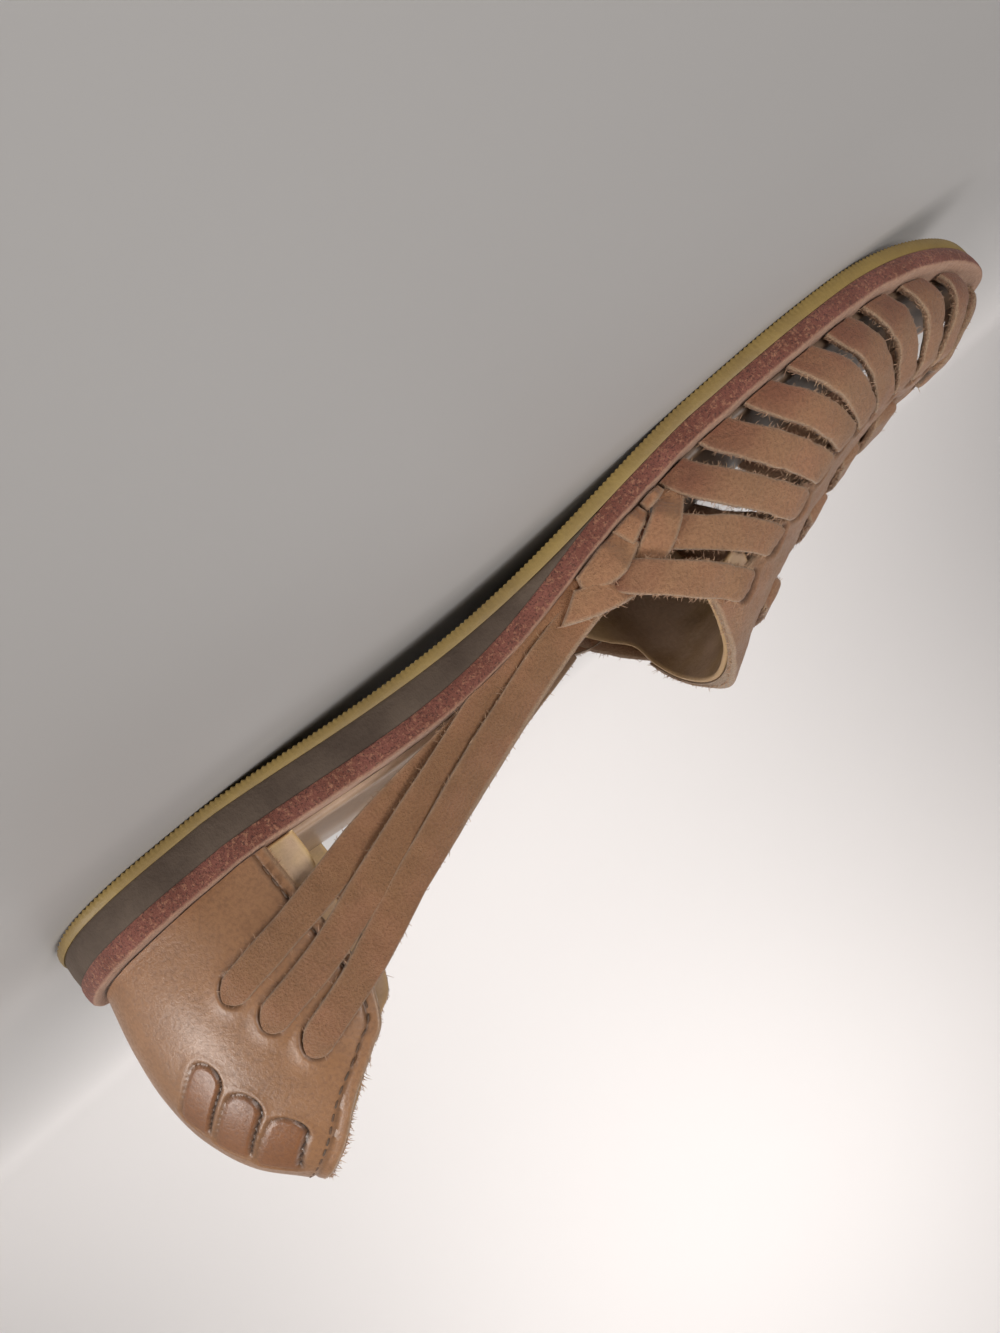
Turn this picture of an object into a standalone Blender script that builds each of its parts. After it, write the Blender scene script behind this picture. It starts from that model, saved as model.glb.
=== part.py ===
"""Huarache sandal, the right shoe: a woven vamp, a heel counter and side straps on a layered flat sole.

Units are metres. +X runs from heel to toe, +Y is the medial side of this right shoe, +Z is up.
The origin is on the floor, in the middle of the heel's flat.
"""
import bpy
import bmesh
import numpy as np

# Sole
SOLE_LENGTH = 0.258
BALL_WIDTH = 0.090
WAIST_WIDTH = 0.064
HEEL_WIDTH = 0.063
OUTSOLE_HEEL = 0.0024
OUTSOLE_BALL = 0.0032
WEDGE_LIFT = 0.0058
WEDGE_THINNEST = 0.0006
MIDSOLE_THICKNESS = 0.0040
INSOLE_THICKNESS = 0.0012
ARCH_RISE = 0.0043
TOE_SPRING = 0.0110
HEEL_BEVEL = 0.0014
RIM = 0.0032
CLEARANCE = 0.0003
WEDGE_INSET = 0.0004

# Upper
LEATHER = 0.0019
STEP = 0.0013
VAMP_REAR = 0.388 * SOLE_LENGTH
INSTEP_HEIGHT = 0.0485
STRIP_WIDTH = 0.0070
STRIP_BOW = 0.0024
CROSSING_LENGTH = 0.020
TOE_PIECE_WIDTH = 0.012
TAB_WIDTH = 0.0094
TAB_SLANT = 0.020
COUNTER_LENGTH = 0.049
COUNTER_HEIGHT = 0.0695
COUNTER_BULGE = 0.0030
COUNTER_LEAN = 0.0125
STRAP_WIDTH = 0.0074

# How full the sections and the sole's curves are
SHOULDER = 0.80
CUP_POWER = 2.4
TOE_POWER = 2.4
HEEL_POWER = 2.2
ARCH_POWER = 1.3
TAPER_POWER = 1.6
CUP_SWELL = 0.10
CUP_CLOSING = 0.20

# Angle between faces, in radians, above which an edge is sharp
SHARP_ANGLE = 0.6

# Where the origin lies on the heel's flat, as a share of the sole's length from its back edge
ORIGIN_SHARE = 0.110

# Where the sole's bottom turns, as shares of its length
HEEL_FLAT = (0.055, 0.165)
BALL_FLAT = (0.640, 0.800)
HEEL_ROUND = 0.125
TOE_ROUND = 0.700
WEDGE_TAPER = (0.270, 0.560)

# Outline rows: share of the length, width there, share of the ball width that its centre lies off the axis
OUTLINE = (
    (0.00, HEEL_WIDTH, 0.000),
    (0.15, HEEL_WIDTH, 0.000),
    (0.42, WAIST_WIDTH, -0.022),
    (0.62, BALL_WIDTH * 0.955, -0.050),
    (0.72, BALL_WIDTH, -0.033),
    (0.85, BALL_WIDTH * 0.930, -0.006),
    (1.00, BALL_WIDTH * 0.780, 0.055),
)

# Ridge of the vamp: share of the sole's length, share of the instep's height
RIDGE = (
    (0.380, 1.100),
    (0.480, 1.075),
    (0.578, 1.000),
    (0.628, 0.880),
    (0.690, 0.750),
    (0.756, 0.628),
    (0.810, 0.560),
    (0.872, 0.535),
    (0.910, 0.515),
)

# Fan of the vamp's sections: share of the feather line from the rear to the toe, share of the vamp's
# length where the ridge end of that section lies
FAN = (
    (0.00, 0.000),
    (0.20, 0.220),
    (0.40, 0.440),
    (0.60, 0.645),
    (0.75, 0.750),
    (0.90, 0.812),
    (1.00, 0.835),
)

# Strips, from the throat to the toe: share of the feather line at the foot, the same at the slit, and
# how far down from the ridge the slit lies, with 1 at the foot
STRIPS = (
    (0.182, 0.345, 0.49),
    (0.268, 0.406, 0.48),
    (0.345, 0.460, 0.47),
    (0.415, 0.515, 0.47),
    (0.485, 0.565, 0.47),
    (0.555, 0.612, 0.45),
    (0.622, 0.662, 0.41),
    (0.695, 0.722, 0.38),
    (0.775, 0.790, 0.36),
    (0.865, 0.872, 0.34),
)

# How far a strip runs on under the panel from its slit: share of the feather line, and towards the ridge
TUCK = (0.012, 0.070)

# Where the raised crossings lie on the ridge, as shares of the feather line
CROSSINGS = (0.395, 0.525, 0.625, 0.740)

# How near the ridge the frontmost piece of the toe reaches
TOE_PIECE_TOP = 0.150

# The wider lateral side: how much nearer the ridge the panel's edge lies there, and how much further
# forward its strips stand at the foot
LATERAL_NARROWING = 0.86
LATERAL_SHIFT = 0.050

# Edge of the vamp's centre panel: share of the feather line, how far down from the ridge
PANEL = (
    (0.285, 0.680),
    (0.315, 0.600),
    (0.360, 0.500),
    (0.600, 0.480),
    (0.700, 0.415),
    (0.800, 0.390),
    (0.930, 0.330),
)

# Rows of the plain weave at the vamp's rear corners: name, then share of the feather line and place
# down from the ridge at both ends of the piece, its width, and how far both ends stand off the vamp
WEAVE = (
    ("corner", 0.120, 0.938, 0.225, 0.880, 0.0072, 0.0016, -0.0004),
    ("over_second", 0.240, 0.893, 0.322, 0.955, 0.0076, 0.0001, 0.0000),
    ("over_first", 0.165, 0.968, 0.252, 0.972, 0.0064, 0.0001, 0.0001),
    ("knob", 0.275, 0.978, 0.326, 0.984, 0.0040, 0.0001, 0.0000),
)

# Part of the corner piece's run over which it comes down from its first height to its last
CORNER_DIP = (0.35, 0.80)

# Side straps from the lowest up: share of the sole's length and of the counter's height at the slit end,
# at four places along the waist and at the front end
STRAPS = (
    ((0.100, 0.432), (0.180, 0.390), (0.250, 0.345), (0.320, 0.314), (0.400, 0.288), (0.430, 0.282)),
    ((0.110, 0.554), (0.180, 0.508), (0.250, 0.427), (0.320, 0.355), (0.400, 0.283), (0.478, 0.235)),
    ((0.122, 0.676), (0.180, 0.616), (0.250, 0.519), (0.320, 0.440), (0.400, 0.364), (0.478, 0.299)),
)

# How much further forward the side straps reach on the lateral side
LATERAL_REACH = 1.03

# How far each strap stands off the upper at its slit, along the waist and at its front end
STRAP_LIFTS = (
    (CLEARANCE, CLEARANCE, CLEARANCE - LEATHER),
    (CLEARANCE, CLEARANCE + 0.0007, CLEARANCE - LEATHER * 0.65),
    (CLEARANCE, CLEARANCE, CLEARANCE - LEATHER),
)

# Where a strap leaves its first height, in lengths of the counter, and where it dips, in its own lengths
STRAP_LEAVES = (1.00, 1.40)
STRAP_DIPS = (0.85, 0.96)

# Back of the counter: share of its height, share of the bulge behind its foot, share of the lean
COUNTER_BACK = (
    (0.00, 0.00, 0.00),
    (0.20, 0.75, 0.00),
    (0.42, 1.00, 0.00),
    (0.62, 0.80, 0.06),
    (0.80, 0.40, 0.33),
    (0.92, 0.10, 0.72),
    (1.00, 0.00, 1.00),
)

# Top edge of the counter: share of the way from its back to its front edge, share of its height
COLLAR = (
    (0.00, 1.000),
    (0.18, 0.990),
    (0.36, 0.968),
    (0.54, 0.922),
    (0.72, 0.845),
    (0.86, 0.785),
    (0.95, 0.730),
    (1.00, 0.640),
)

# Tabs on the back of the counter: share of the way to the front edge and share of the height at the
# front end, then the same at the back end
TABS = (
    (0.430, 0.555, 0.250, 0.625),
    (0.460, 0.673, 0.270, 0.735),
    (0.480, 0.790, 0.290, 0.838),
)

# Rounded front end of a tab: share of its length, share of its width there
TAB_END = (
    (0.00, 0.45),
    (0.12, 0.85),
    (0.35, 1.00),
    (0.70, 1.00),
    (1.00, 1.00),
)


def smooth(value, rows, column):
    """Read a column of a table at a value: a cubic through its rows, level beyond them."""
    table = np.array(rows)
    places, heights = table[:, 0], table[:, column]
    slopes = np.gradient(heights, places)
    value = np.clip(value, places[0], places[-1])
    row = np.clip(np.searchsorted(places, value) - 1, 0, len(places) - 2)
    gap = places[row + 1] - places[row]
    share = (value - places[row]) / gap
    rise = heights[row + 1] - heights[row]
    bend = slopes[row] * gap - rise
    unbend = rise - slopes[row + 1] * gap
    return heights[row] + share * rise + share * (1 - share) * ((1 - share) * bend + share * unbend)


def ease(value, start, end):
    """Go smoothly from 0 at the start to 1 at the end."""
    share = np.clip((value - start) / (end - start), 0.0, 1.0)
    return share * share * (3.0 - 2.0 * share)


def outline_edges(inset, count):
    """Medial and lateral edge points of the sole's outline, moved in by an inset.

    The half-width is read from the table and closed at both ends by rounded ends.
    """
    share = (1.0 - np.cos(np.linspace(0.0, np.pi, count))) / 2.0
    heel = 1.0 - np.clip(1.0 - share / HEEL_ROUND, 0.0, 1.0) ** HEEL_POWER
    toe = 1.0 - np.clip((share - TOE_ROUND) / (1.0 - TOE_ROUND), 0.0, 1.0) ** TOE_POWER
    half = smooth(share, OUTLINE, 1) / 2.0 * np.sqrt(heel * toe)
    centre = smooth(share, OUTLINE, 2) * BALL_WIDTH
    along = share * SOLE_LENGTH
    medial = np.stack([along, centre + half], axis=1)
    lateral = np.stack([along, centre - half], axis=1)
    loop = np.concatenate([medial, lateral[-2:0:-1]])
    forward = np.roll(loop, -1, axis=0) - np.roll(loop, 1, axis=0)
    forward /= np.linalg.norm(forward, axis=1)[:, None]
    loop = loop + inset * np.stack([forward[:, 1], -forward[:, 0]], axis=1)
    medial = loop[:count]
    lateral = np.concatenate([loop[:1], loop[:count - 2:-1]])
    return medial, lateral


def ground(along):
    """Height of the sole's bottom: flat under heel and ball, with the arch and toe spring between."""
    share = along / SOLE_LENGTH
    bevel = HEEL_BEVEL * np.clip(1.0 - share / HEEL_FLAT[0], 0.0, 1.0) ** 2
    arch = np.clip((share - HEEL_FLAT[1]) / (BALL_FLAT[0] - HEEL_FLAT[1]), 0.0, 1.0)
    spring = np.clip((share - BALL_FLAT[1]) / (1.0 - BALL_FLAT[1]), 0.0, 1.0)
    return bevel + ARCH_RISE * np.sin(np.pi * arch) ** ARCH_POWER + TOE_SPRING * spring ** 2


def outsole_top(along):
    """Height of the outsole's top."""
    share = ease(along / SOLE_LENGTH, HEEL_FLAT[1], BALL_FLAT[0])
    return ground(along) + OUTSOLE_HEEL + (OUTSOLE_BALL - OUTSOLE_HEEL) * share


def wedge_lift(along):
    """How far the wedge lifts the midsole: level under the heel, tapering to nothing before the ball."""
    start, end = WEDGE_TAPER
    share = np.clip((along / SOLE_LENGTH - start) / (end - start), 0.0, 1.0)
    return WEDGE_LIFT * (1.0 - ease(share ** TAPER_POWER, 0.0, 1.0))


def midsole_low(along):
    """Height of the midsole's bottom."""
    return outsole_top(along) + wedge_lift(along) + CLEARANCE


def footbed(along):
    """Height of the midsole's top, on which the upper and the insole stand."""
    return midsole_low(along) + MIDSOLE_THICKNESS


def make_material(name, colour, roughness):
    """A plain Principled material."""
    material = bpy.data.materials.new(name)
    material.use_nodes = True
    shader = material.node_tree.nodes["Principled BSDF"]
    shader.inputs["Base Color"].default_value = (*colour, 1.0)
    shader.inputs["Roughness"].default_value = roughness
    shader.inputs["Metallic"].default_value = 0.0
    return material


def make_object(name, points, faces, collection, material=None):
    """Put points and faces into a new closed mesh object with its faces turned outwards.

    The points are measured from the sole's back edge, and the object's from the origin.
    """
    points = points - np.array([ORIGIN_SHARE * SOLE_LENGTH, 0.0, 0.0])
    mesh = bpy.data.meshes.new(name)
    mesh.from_pydata(points.tolist(), [], faces)
    shape = bmesh.new()
    shape.from_mesh(mesh)
    bmesh.ops.remove_doubles(shape, verts=shape.verts, dist=0.000001)
    bmesh.ops.triangulate(shape, faces=shape.faces)
    bmesh.ops.recalc_face_normals(shape, faces=shape.faces)
    shape.to_mesh(mesh)
    shape.free()
    mesh.shade_smooth()
    mesh.set_sharp_from_angle(angle=SHARP_ANGLE)
    piece = bpy.data.objects.new(name, mesh)
    collection.objects.link(piece)
    if material is None:
        piece.hide_render = True
        piece.display_type = 'WIRE'
    else:
        mesh.materials.append(material)
    return piece


def closed_grid(inner, outer):
    """Points and faces of the closed solid between two grids of points of one size."""
    rows, columns = inner.shape[:2]
    index = np.arange(rows * columns).reshape(rows, columns)
    quads = np.stack([index[:-1, :-1], index[1:, :-1], index[1:, 1:], index[:-1, 1:]], axis=-1).reshape(-1, 4)
    border = np.concatenate([index[0], index[1:, -1], index[-1, -2::-1], index[-2:0:-1, 0]])
    following = np.roll(border, -1)
    shift = rows * columns
    rim = np.stack([border, following, following + shift, border + shift], axis=-1)
    faces = np.concatenate([quads, quads[:, ::-1] + shift, rim])
    points = np.concatenate([inner.reshape(-1, 3), outer.reshape(-1, 3)])
    return points, faces.tolist()


def slab(name, low, high, inset, collection, material, end=1.0, count=61):
    """A layer of the sole between two heights, inside the outline, from the heel to an end."""
    medial, lateral = outline_edges(inset, count)
    keep = medial[:, 0] <= end * SOLE_LENGTH
    medial, lateral = medial[keep], lateral[keep]
    plan = np.stack([lateral, medial], axis=1)
    inner = np.concatenate([plan, low(plan[..., 0])[..., None]], axis=-1)
    outer = np.concatenate([plan, high(plan[..., 0])[..., None]], axis=-1)
    return make_object(name, *closed_grid(inner, outer), collection, material)


def feather_lines():
    """The vamp's medial and lateral foot lines from its rear to the toe, by share of their length."""
    lines = []
    for edge in outline_edges(RIM + LEATHER - STEP / 2, 400):
        edge = edge[edge[:, 0] >= VAMP_REAR]
        steps = np.linalg.norm(np.diff(edge, axis=0), axis=1)
        run = np.concatenate([[0.0], np.cumsum(steps)])
        lines.append((run / run[-1], edge, run[-1]))
    return lines


FEATHER = feather_lines()
FEATHER_LENGTH = FEATHER[0][2]


def vamp_point(share, down):
    """Point of the vamp's inner surface.

    The share runs along the feather line to the toe, and past 1 back along the other side. Down runs
    from 0 at the ridge to 1 at the medial foot and -1 at the lateral one, along a rounded section: the
    sine of down in plan, and a power of its cosine in height.
    """
    past = share > 1.0
    share = np.where(past, 2.0 - share, share)
    down = np.where(past, -down, down)
    feet = []
    for run, edge, _ in FEATHER:
        feet.append(np.stack([np.interp(share, run, edge[:, 0]), np.interp(share, run, edge[:, 1])], axis=-1))
    foot = np.where((down >= 0.0)[..., None], feet[0], feet[1])
    length = FEATHER[0][1][-1, 0] - VAMP_REAR
    along = VAMP_REAR + length * smooth(share, FAN, 1)
    ridge = np.stack([along, smooth(along / SOLE_LENGTH, OUTLINE, 2) * BALL_WIDTH], axis=-1)
    turn = np.abs(down) * np.pi / 2.0
    plan = ridge + (foot - ridge) * np.sin(turn)[..., None]
    base = footbed(foot[..., 0]) + 1.5 * CLEARANCE
    top = smooth(along / SOLE_LENGTH, RIDGE, 1) * INSTEP_HEIGHT - LEATHER
    height = base + (top - base) * np.abs(np.cos(turn)) ** SHOULDER
    return np.concatenate([plan, height[..., None]], axis=-1)


def normals(surface, first, second, first_range, second_range):
    """Unit normals of a surface of two parameters, from small differences kept inside its ranges."""
    step = 0.002
    ahead = surface(np.clip(first + step, *first_range), second)
    behind = surface(np.clip(first - step, *first_range), second)
    right = surface(first, np.clip(second + step, *second_range))
    left = surface(first, np.clip(second - step, *second_range))
    across = np.cross(ahead - behind, right - left)
    return across / np.linalg.norm(across, axis=-1)[..., None]


def vamp_plate(name, share, down, low, high, collection, material=None):
    """A closed piece of leather over a patch of the vamp, between two heights off its inner surface."""
    points = vamp_point(share, down)
    out = normals(vamp_point, share, down, (0.0, 2.0), (-1.0, 1.0))
    sheets = [points + out * low, points + out * high]
    for sheet in sheets:
        sheet[..., 2] = np.maximum(sheet[..., 2], footbed(sheet[..., 0]) + 1.5 * CLEARANCE)
    return make_object(name, *closed_grid(*sheets), collection, material)


def vamp_ribbon(name, start, end, width, low, high, collection, count=9, bow=0.0):
    """A strip of even width over the vamp, from a start to an end of (share, down).

    Its centre line is straight in share and down apart from the bow, and its edges lie along the
    feather line's direction, as far apart as the width needs at each place. Low and high are lists of
    heights off the vamp's inner surface, spread evenly over its length.
    """
    run = np.linspace(0.0, 1.0, count)
    down = start[1] + (end[1] - start[1]) * run
    share = start[0] + (end[0] - start[0]) * run + bow * np.sin(np.pi * run)
    path = vamp_point(share, down)
    forward = np.gradient(path, axis=0)
    forward /= np.linalg.norm(forward, axis=1)[:, None]
    sideways = (vamp_point(share + 0.001, down) - vamp_point(share - 0.001, down)) / 0.002
    spread = np.linalg.norm(np.cross(sideways, forward), axis=1)
    half = width / 2.0 / spread
    across = np.array([-1.0, 0.0, 1.0])
    low = np.interp(run, np.linspace(0.0, 1.0, len(low)), low)[:, None, None]
    high = np.interp(run, np.linspace(0.0, 1.0, len(high)), high)[:, None, None]
    grid_share = share[:, None] + half[:, None] * across
    grid_down = np.repeat(down[:, None], 3, axis=1)
    return vamp_plate(name, grid_share, grid_down, low, high, collection)


def lengthwise_ribbon(name, start, end, width, low, collection, count=7):
    """A strip of even width that runs along the vamp, from a start to an end of (share, down)."""
    run = np.linspace(0.0, 1.0, count)
    share = start[0] + (end[0] - start[0]) * run
    down = start[1] + (end[1] - start[1]) * run
    side = np.sign(start[1])
    path = vamp_point(share, down)
    forward = np.gradient(path, axis=0)
    forward /= np.linalg.norm(forward, axis=1)[:, None]
    drop = (vamp_point(share, down) - vamp_point(share, down - side * 0.01)) / 0.01
    spread = np.linalg.norm(np.cross(drop, forward), axis=1)
    half = width / 2.0 / spread
    across = np.array([-1.0, 0.0, 1.0])
    grid_down = side * np.minimum(np.abs(down)[:, None] + half[:, None] * across, 0.998)
    grid_share = np.repeat(share[:, None], 3, axis=1)
    low = (low[0] + (low[1] - low[0]) * ease(run, *CORNER_DIP))[:, None, None]
    return vamp_plate(name, grid_share, grid_down, low, low + LEATHER, collection)


def join(base, tools):
    """Fuse every object of a collection onto a base with a union."""
    union = base.modifiers.new("join", 'BOOLEAN')
    union.operation = 'UNION'
    union.solver = 'EXACT'
    union.operand_type = 'COLLECTION'
    union.collection = tools


def make_vamp(collection, tools, material):
    """The woven vamp: a centre panel with strips that dive under its edges, fused into one wall."""
    share = np.linspace(PANEL[0][0], PANEL[-1][0], 20)
    across = np.linspace(-1.0, 1.0, 13)
    edge = smooth(share, PANEL, 1)
    grid_share = np.repeat(share[:, None], len(across), axis=1)
    reach = np.where(across < 0.0, LATERAL_NARROWING, 1.0) * across
    panel = vamp_plate("vamp", grid_share, edge[:, None] * reach, 0.0, LEATHER, collection, material)
    for side, side_name in ((1.0, "medial"), (-1.0, "lateral")):
        shift = LATERAL_SHIFT * (side < 0.0)
        narrowing = LATERAL_NARROWING if side < 0.0 else 1.0
        for number, (foot, slit, depth) in enumerate(STRIPS, start=1):
            start = (foot + shift * (1.0 - foot), side)
            end = (slit + TUCK[0], side * (depth * narrowing - TUCK[1]))
            bow = STRIP_BOW / FEATHER_LENGTH * number / len(STRIPS)
            name = f"strip_{side_name}_{number}"
            vamp_ribbon(name, start, end, STRIP_WIDTH, [-STEP], [LEATHER - STEP], tools, bow=bow)
        for name, rear, rear_down, front, front_down, width, rear_lift, front_lift in WEAVE:
            start, end = (rear + shift, side * rear_down), (front + shift, side * front_down)
            lengthwise_ribbon(f"{name}_{side_name}", start, end, width, (rear_lift, front_lift), tools)
    toe_end = (1.0, TOE_PIECE_TOP)
    vamp_ribbon("toe_piece", (1.0, 1.0), toe_end, TOE_PIECE_WIDTH, [CLEARANCE], [LEATHER], tools)
    reach = CROSSING_LENGTH / BALL_WIDTH * 2.0 / np.pi
    for number, place in enumerate(CROSSINGS, start=1):
        start, end = (place, -reach), (place, reach)
        rise = [LEATHER, LEATHER + STEP, LEATHER + STEP, LEATHER + STEP, LEATHER]
        vamp_ribbon(f"crossing_{number}", start, end, STRIP_WIDTH, [LEATHER / 2.0], rise, tools)
    join(panel, tools)
    return panel


def cup_arc():
    """Angle of the counter's plan curve by share of its length from the back to the front edge."""
    angle = np.linspace(0.0, np.pi / 2.0, 300)
    power = 2.0 / CUP_POWER
    along = COUNTER_LENGTH * (1.0 - np.cos(angle) ** power)
    out = (HEEL_WIDTH / 2.0 - RIM) * np.sin(angle) ** power
    run = np.concatenate([[0.0], np.cumsum(np.hypot(np.diff(along), np.diff(out)))])
    return run / run[-1], angle


CUP_RUN, CUP_ANGLE = cup_arc()


def cup_back(height):
    """Where the counter's back lies at a height, ahead of the sole's back edge."""
    share = np.clip(height / COUNTER_HEIGHT, 0.0, 1.0)
    base = footbed(0.0) / COUNTER_HEIGHT
    up = (share - base) / (1.0 - base)
    return RIM - COUNTER_BULGE * smooth(up, COUNTER_BACK, 1) + COUNTER_LEAN * smooth(up, COUNTER_BACK, 2)


def cup_half(height):
    """Half-width of the counter at a height: it bulges a little and closes in towards the top."""
    up = np.clip(height / COUNTER_HEIGHT, 0.0, 1.0)
    return (HEEL_WIDTH / 2.0 - RIM) * (1.0 + CUP_SWELL * np.sin(np.pi * up) - CUP_CLOSING * up ** 2)


def cup_point(around, up):
    """Point of the counter's outer surface.

    Around runs from -1 at the lateral front edge through 0 at the back to 1 at the medial one, up from
    0 at the sole to 1 at the top edge. Each level is half of a rounded oblong.
    """
    angle = np.interp(np.abs(around), CUP_RUN, CUP_ANGLE)
    top = COUNTER_HEIGHT * smooth(np.abs(around), COLLAR, 1)
    power = 2.0 / CUP_POWER
    rough = COUNTER_LENGTH * (1.0 - np.cos(angle) ** power)
    base = footbed(rough) + CLEARANCE
    height = base + (top - base) * up
    back = cup_back(height)
    along = COUNTER_LENGTH - (COUNTER_LENGTH - back) * np.cos(angle) ** power
    out = cup_half(height) * np.sin(angle) ** power * np.sign(around)
    centre = smooth(along / SOLE_LENGTH, OUTLINE, 2) * BALL_WIDTH
    return np.stack([along, centre + out, height], axis=-1)


def cup_plate(name, around, up, low, high, collection, material=None):
    """A closed piece of leather over a patch of the counter, between two heights off its outside."""
    points = cup_point(around, up)
    out = -normals(cup_point, around, up, (-1.0, 1.0), (0.0, 1.0))
    return make_object(name, *closed_grid(points + out * low, points + out * high), collection, material)


def make_counter(collection, tools, material):
    """The heel counter: a cup open at the top and in front, with the strap ends raised on its back."""
    around = np.linspace(-1.0, 1.0, 31)
    up = np.linspace(0.0, 1.0, 9)
    grid = np.meshgrid(around, up, indexing="ij")
    counter = cup_plate("heel_counter", *grid, -LEATHER, 0.0, collection, material)
    for side, side_name in ((1.0, "medial"), (-1.0, "lateral")):
        for number, (front, front_up, back, back_up) in enumerate(TABS, start=1):
            run, full = np.array(TAB_END).T[:, :, None]
            across = np.array([-1.0, 0.0, 1.0]) * full
            half = TAB_WIDTH / 2.0 / COUNTER_HEIGHT
            grid_around = side * (front + (back - front) * run + TAB_SLANT * across)
            top = smooth(np.abs(grid_around), COLLAR, 1)
            base = footbed(0.0) / COUNTER_HEIGHT
            grid_up = (front_up + (back_up - front_up) * run + half * across - base) / (top - base)
            cup_plate(f"tab_{side_name}_{number}", grid_around, grid_up, -LEATHER / 2.0, STEP, tools)
    join(counter, tools)
    return counter


def side_point(along, height):
    """Point of the surface that the medial side straps lie on, from the counter's side to the vamp's."""
    back = cup_back(height)
    share = np.clip((COUNTER_LENGTH - along) / (COUNTER_LENGTH - back), 0.0, 1.0)
    cup = cup_half(height) * (1.0 - share ** CUP_POWER) ** (1.0 / CUP_POWER)
    run, edge, _ = FEATHER[0]
    centre = smooth(along / SOLE_LENGTH, OUTLINE, 2) * BALL_WIDTH
    foot = np.interp(along, edge[:, 0], edge[:, 1]) - centre
    base = footbed(along) + CLEARANCE
    top = smooth(along / SOLE_LENGTH, RIDGE, 1) * INSTEP_HEIGHT - LEATHER
    rise = np.clip((height - base) / (top - base), 0.0, 0.98) ** (1.0 / SHOULDER)
    vamp = foot * np.sqrt(1.0 - rise ** 2)
    blend = ease(along, COUNTER_LENGTH, STRAPS[0][-1][0] * SOLE_LENGTH)
    return np.stack([along, centre + cup + (vamp - cup) * blend, height], axis=-1)


def make_strap(name, rows, lifts, side, collection, material=None):
    """One side strap: it starts with a round end at its slit and runs forward down to the vamp."""
    length = SOLE_LENGTH * (LATERAL_REACH if side < 0.0 else 1.0)
    table = [(share * length, height * COUNTER_HEIGHT) for share, height in rows]
    start, end = table[0][0], table[-1][0]
    radius = STRAP_WIDTH / 2.0
    tip = radius * (1.0 - np.cos(np.linspace(0.0, np.pi / 2.0, 5)[1:]))
    along = np.concatenate([start + tip, np.linspace(start + radius, end, 14)[1:]])
    height = smooth(along, table, 1)
    slope = np.gradient(height, along)
    reach = np.clip(1.0 - (along - start) / radius, 0.0, 1.0)
    half = radius * np.sqrt(1.0 - reach ** 2) * np.sqrt(1.0 + slope ** 2)
    across = np.array([-1.0, 0.0, 1.0])
    grid_along = np.repeat(along[:, None], 3, axis=1)
    grid_height = np.maximum(height[:, None] + half[:, None] * across, footbed(grid_along) + 2.0 * CLEARANCE)
    points = side_point(grid_along, grid_height)
    out = -normals(side_point, grid_along, grid_height, (0.0, 1.0), (0.0, 1.0))
    rear, waist, front = lifts
    lift = rear + (waist - rear) * ease(along / COUNTER_LENGTH, *STRAP_LEAVES)
    lift = (lift + (front - waist) * ease(along / end, *STRAP_DIPS))[:, None, None]
    inner, outer = points + out * lift, points + out * (lift + LEATHER)
    if side < 0.0:
        centre = smooth(grid_along / SOLE_LENGTH, OUTLINE, 2) * BALL_WIDTH
        inner[..., 1] = 2.0 * centre - inner[..., 1]
        outer[..., 1] = 2.0 * centre - outer[..., 1]
    return make_object(name, *closed_grid(inner, outer), collection, material)


def make_straps(side_name, side, collection, tools, material):
    """The three side straps of one side, fused where they slide over each other."""
    base = make_strap(f"side_straps_{side_name}", STRAPS[1], STRAP_LIFTS[1], side, collection, material)
    make_strap(f"strap_{side_name}_low", STRAPS[0], STRAP_LIFTS[0], side, tools)
    make_strap(f"strap_{side_name}_high", STRAPS[2], STRAP_LIFTS[2], side, tools)
    join(base, tools)
    return base


def make_sole(collection):
    """The four layers of the sole, from the floor up."""
    rubber = make_material("ochre_rubber", (0.40, 0.26, 0.06), 0.55)
    foam = make_material("dark_wedge", (0.07, 0.055, 0.045), 0.85)
    board = make_material("speckled_board", (0.22, 0.06, 0.05), 0.80)
    lining = make_material("pale_lining", (0.54, 0.37, 0.26), 0.60)
    reach = np.linspace(0.0, SOLE_LENGTH, 500)
    thick = wedge_lift(reach) - CLEARANCE >= WEDGE_THINNEST
    end = reach[thick][-1] / SOLE_LENGTH
    slab("outsole", ground, outsole_top, 0.0, collection, rubber)
    slab("wedge", lambda x: outsole_top(x) + CLEARANCE, lambda x: outsole_top(x) + wedge_lift(x),
         WEDGE_INSET, collection, foam, end=end)
    slab("midsole", midsole_low, footbed, 0.0, collection, board)
    inset = RIM + LEATHER + STEP / 2.0 + 2.0 * CLEARANCE
    slab("insole", lambda x: footbed(x) + CLEARANCE, lambda x: footbed(x) + CLEARANCE + INSOLE_THICKNESS,
         inset, collection, lining)


def new_collection(name):
    """A new collection in the scene."""
    collection = bpy.data.collections.new(name)
    bpy.context.scene.collection.children.link(collection)
    return collection


def main():
    """Clear the scene and build the shoe."""
    for thing in list(bpy.data.objects):
        bpy.data.objects.remove(thing, do_unlink=True)
    shoe = new_collection("huarache_sandal")
    leather = make_material("tan_leather", (0.34, 0.19, 0.125), 0.55)
    smooth_leather = make_material("smooth_tan_leather", (0.34, 0.195, 0.13), 0.40)
    strap_leather = make_material("strap_leather", (0.37, 0.18, 0.11), 0.60)
    make_sole(shoe)
    make_vamp(shoe, new_collection("vamp_tools"), leather)
    make_counter(shoe, new_collection("counter_tools"), smooth_leather)
    make_straps("medial", 1.0, shoe, new_collection("medial_strap_tools"), strap_leather)
    make_straps("lateral", -1.0, shoe, new_collection("lateral_strap_tools"), strap_leather)


main()
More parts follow.
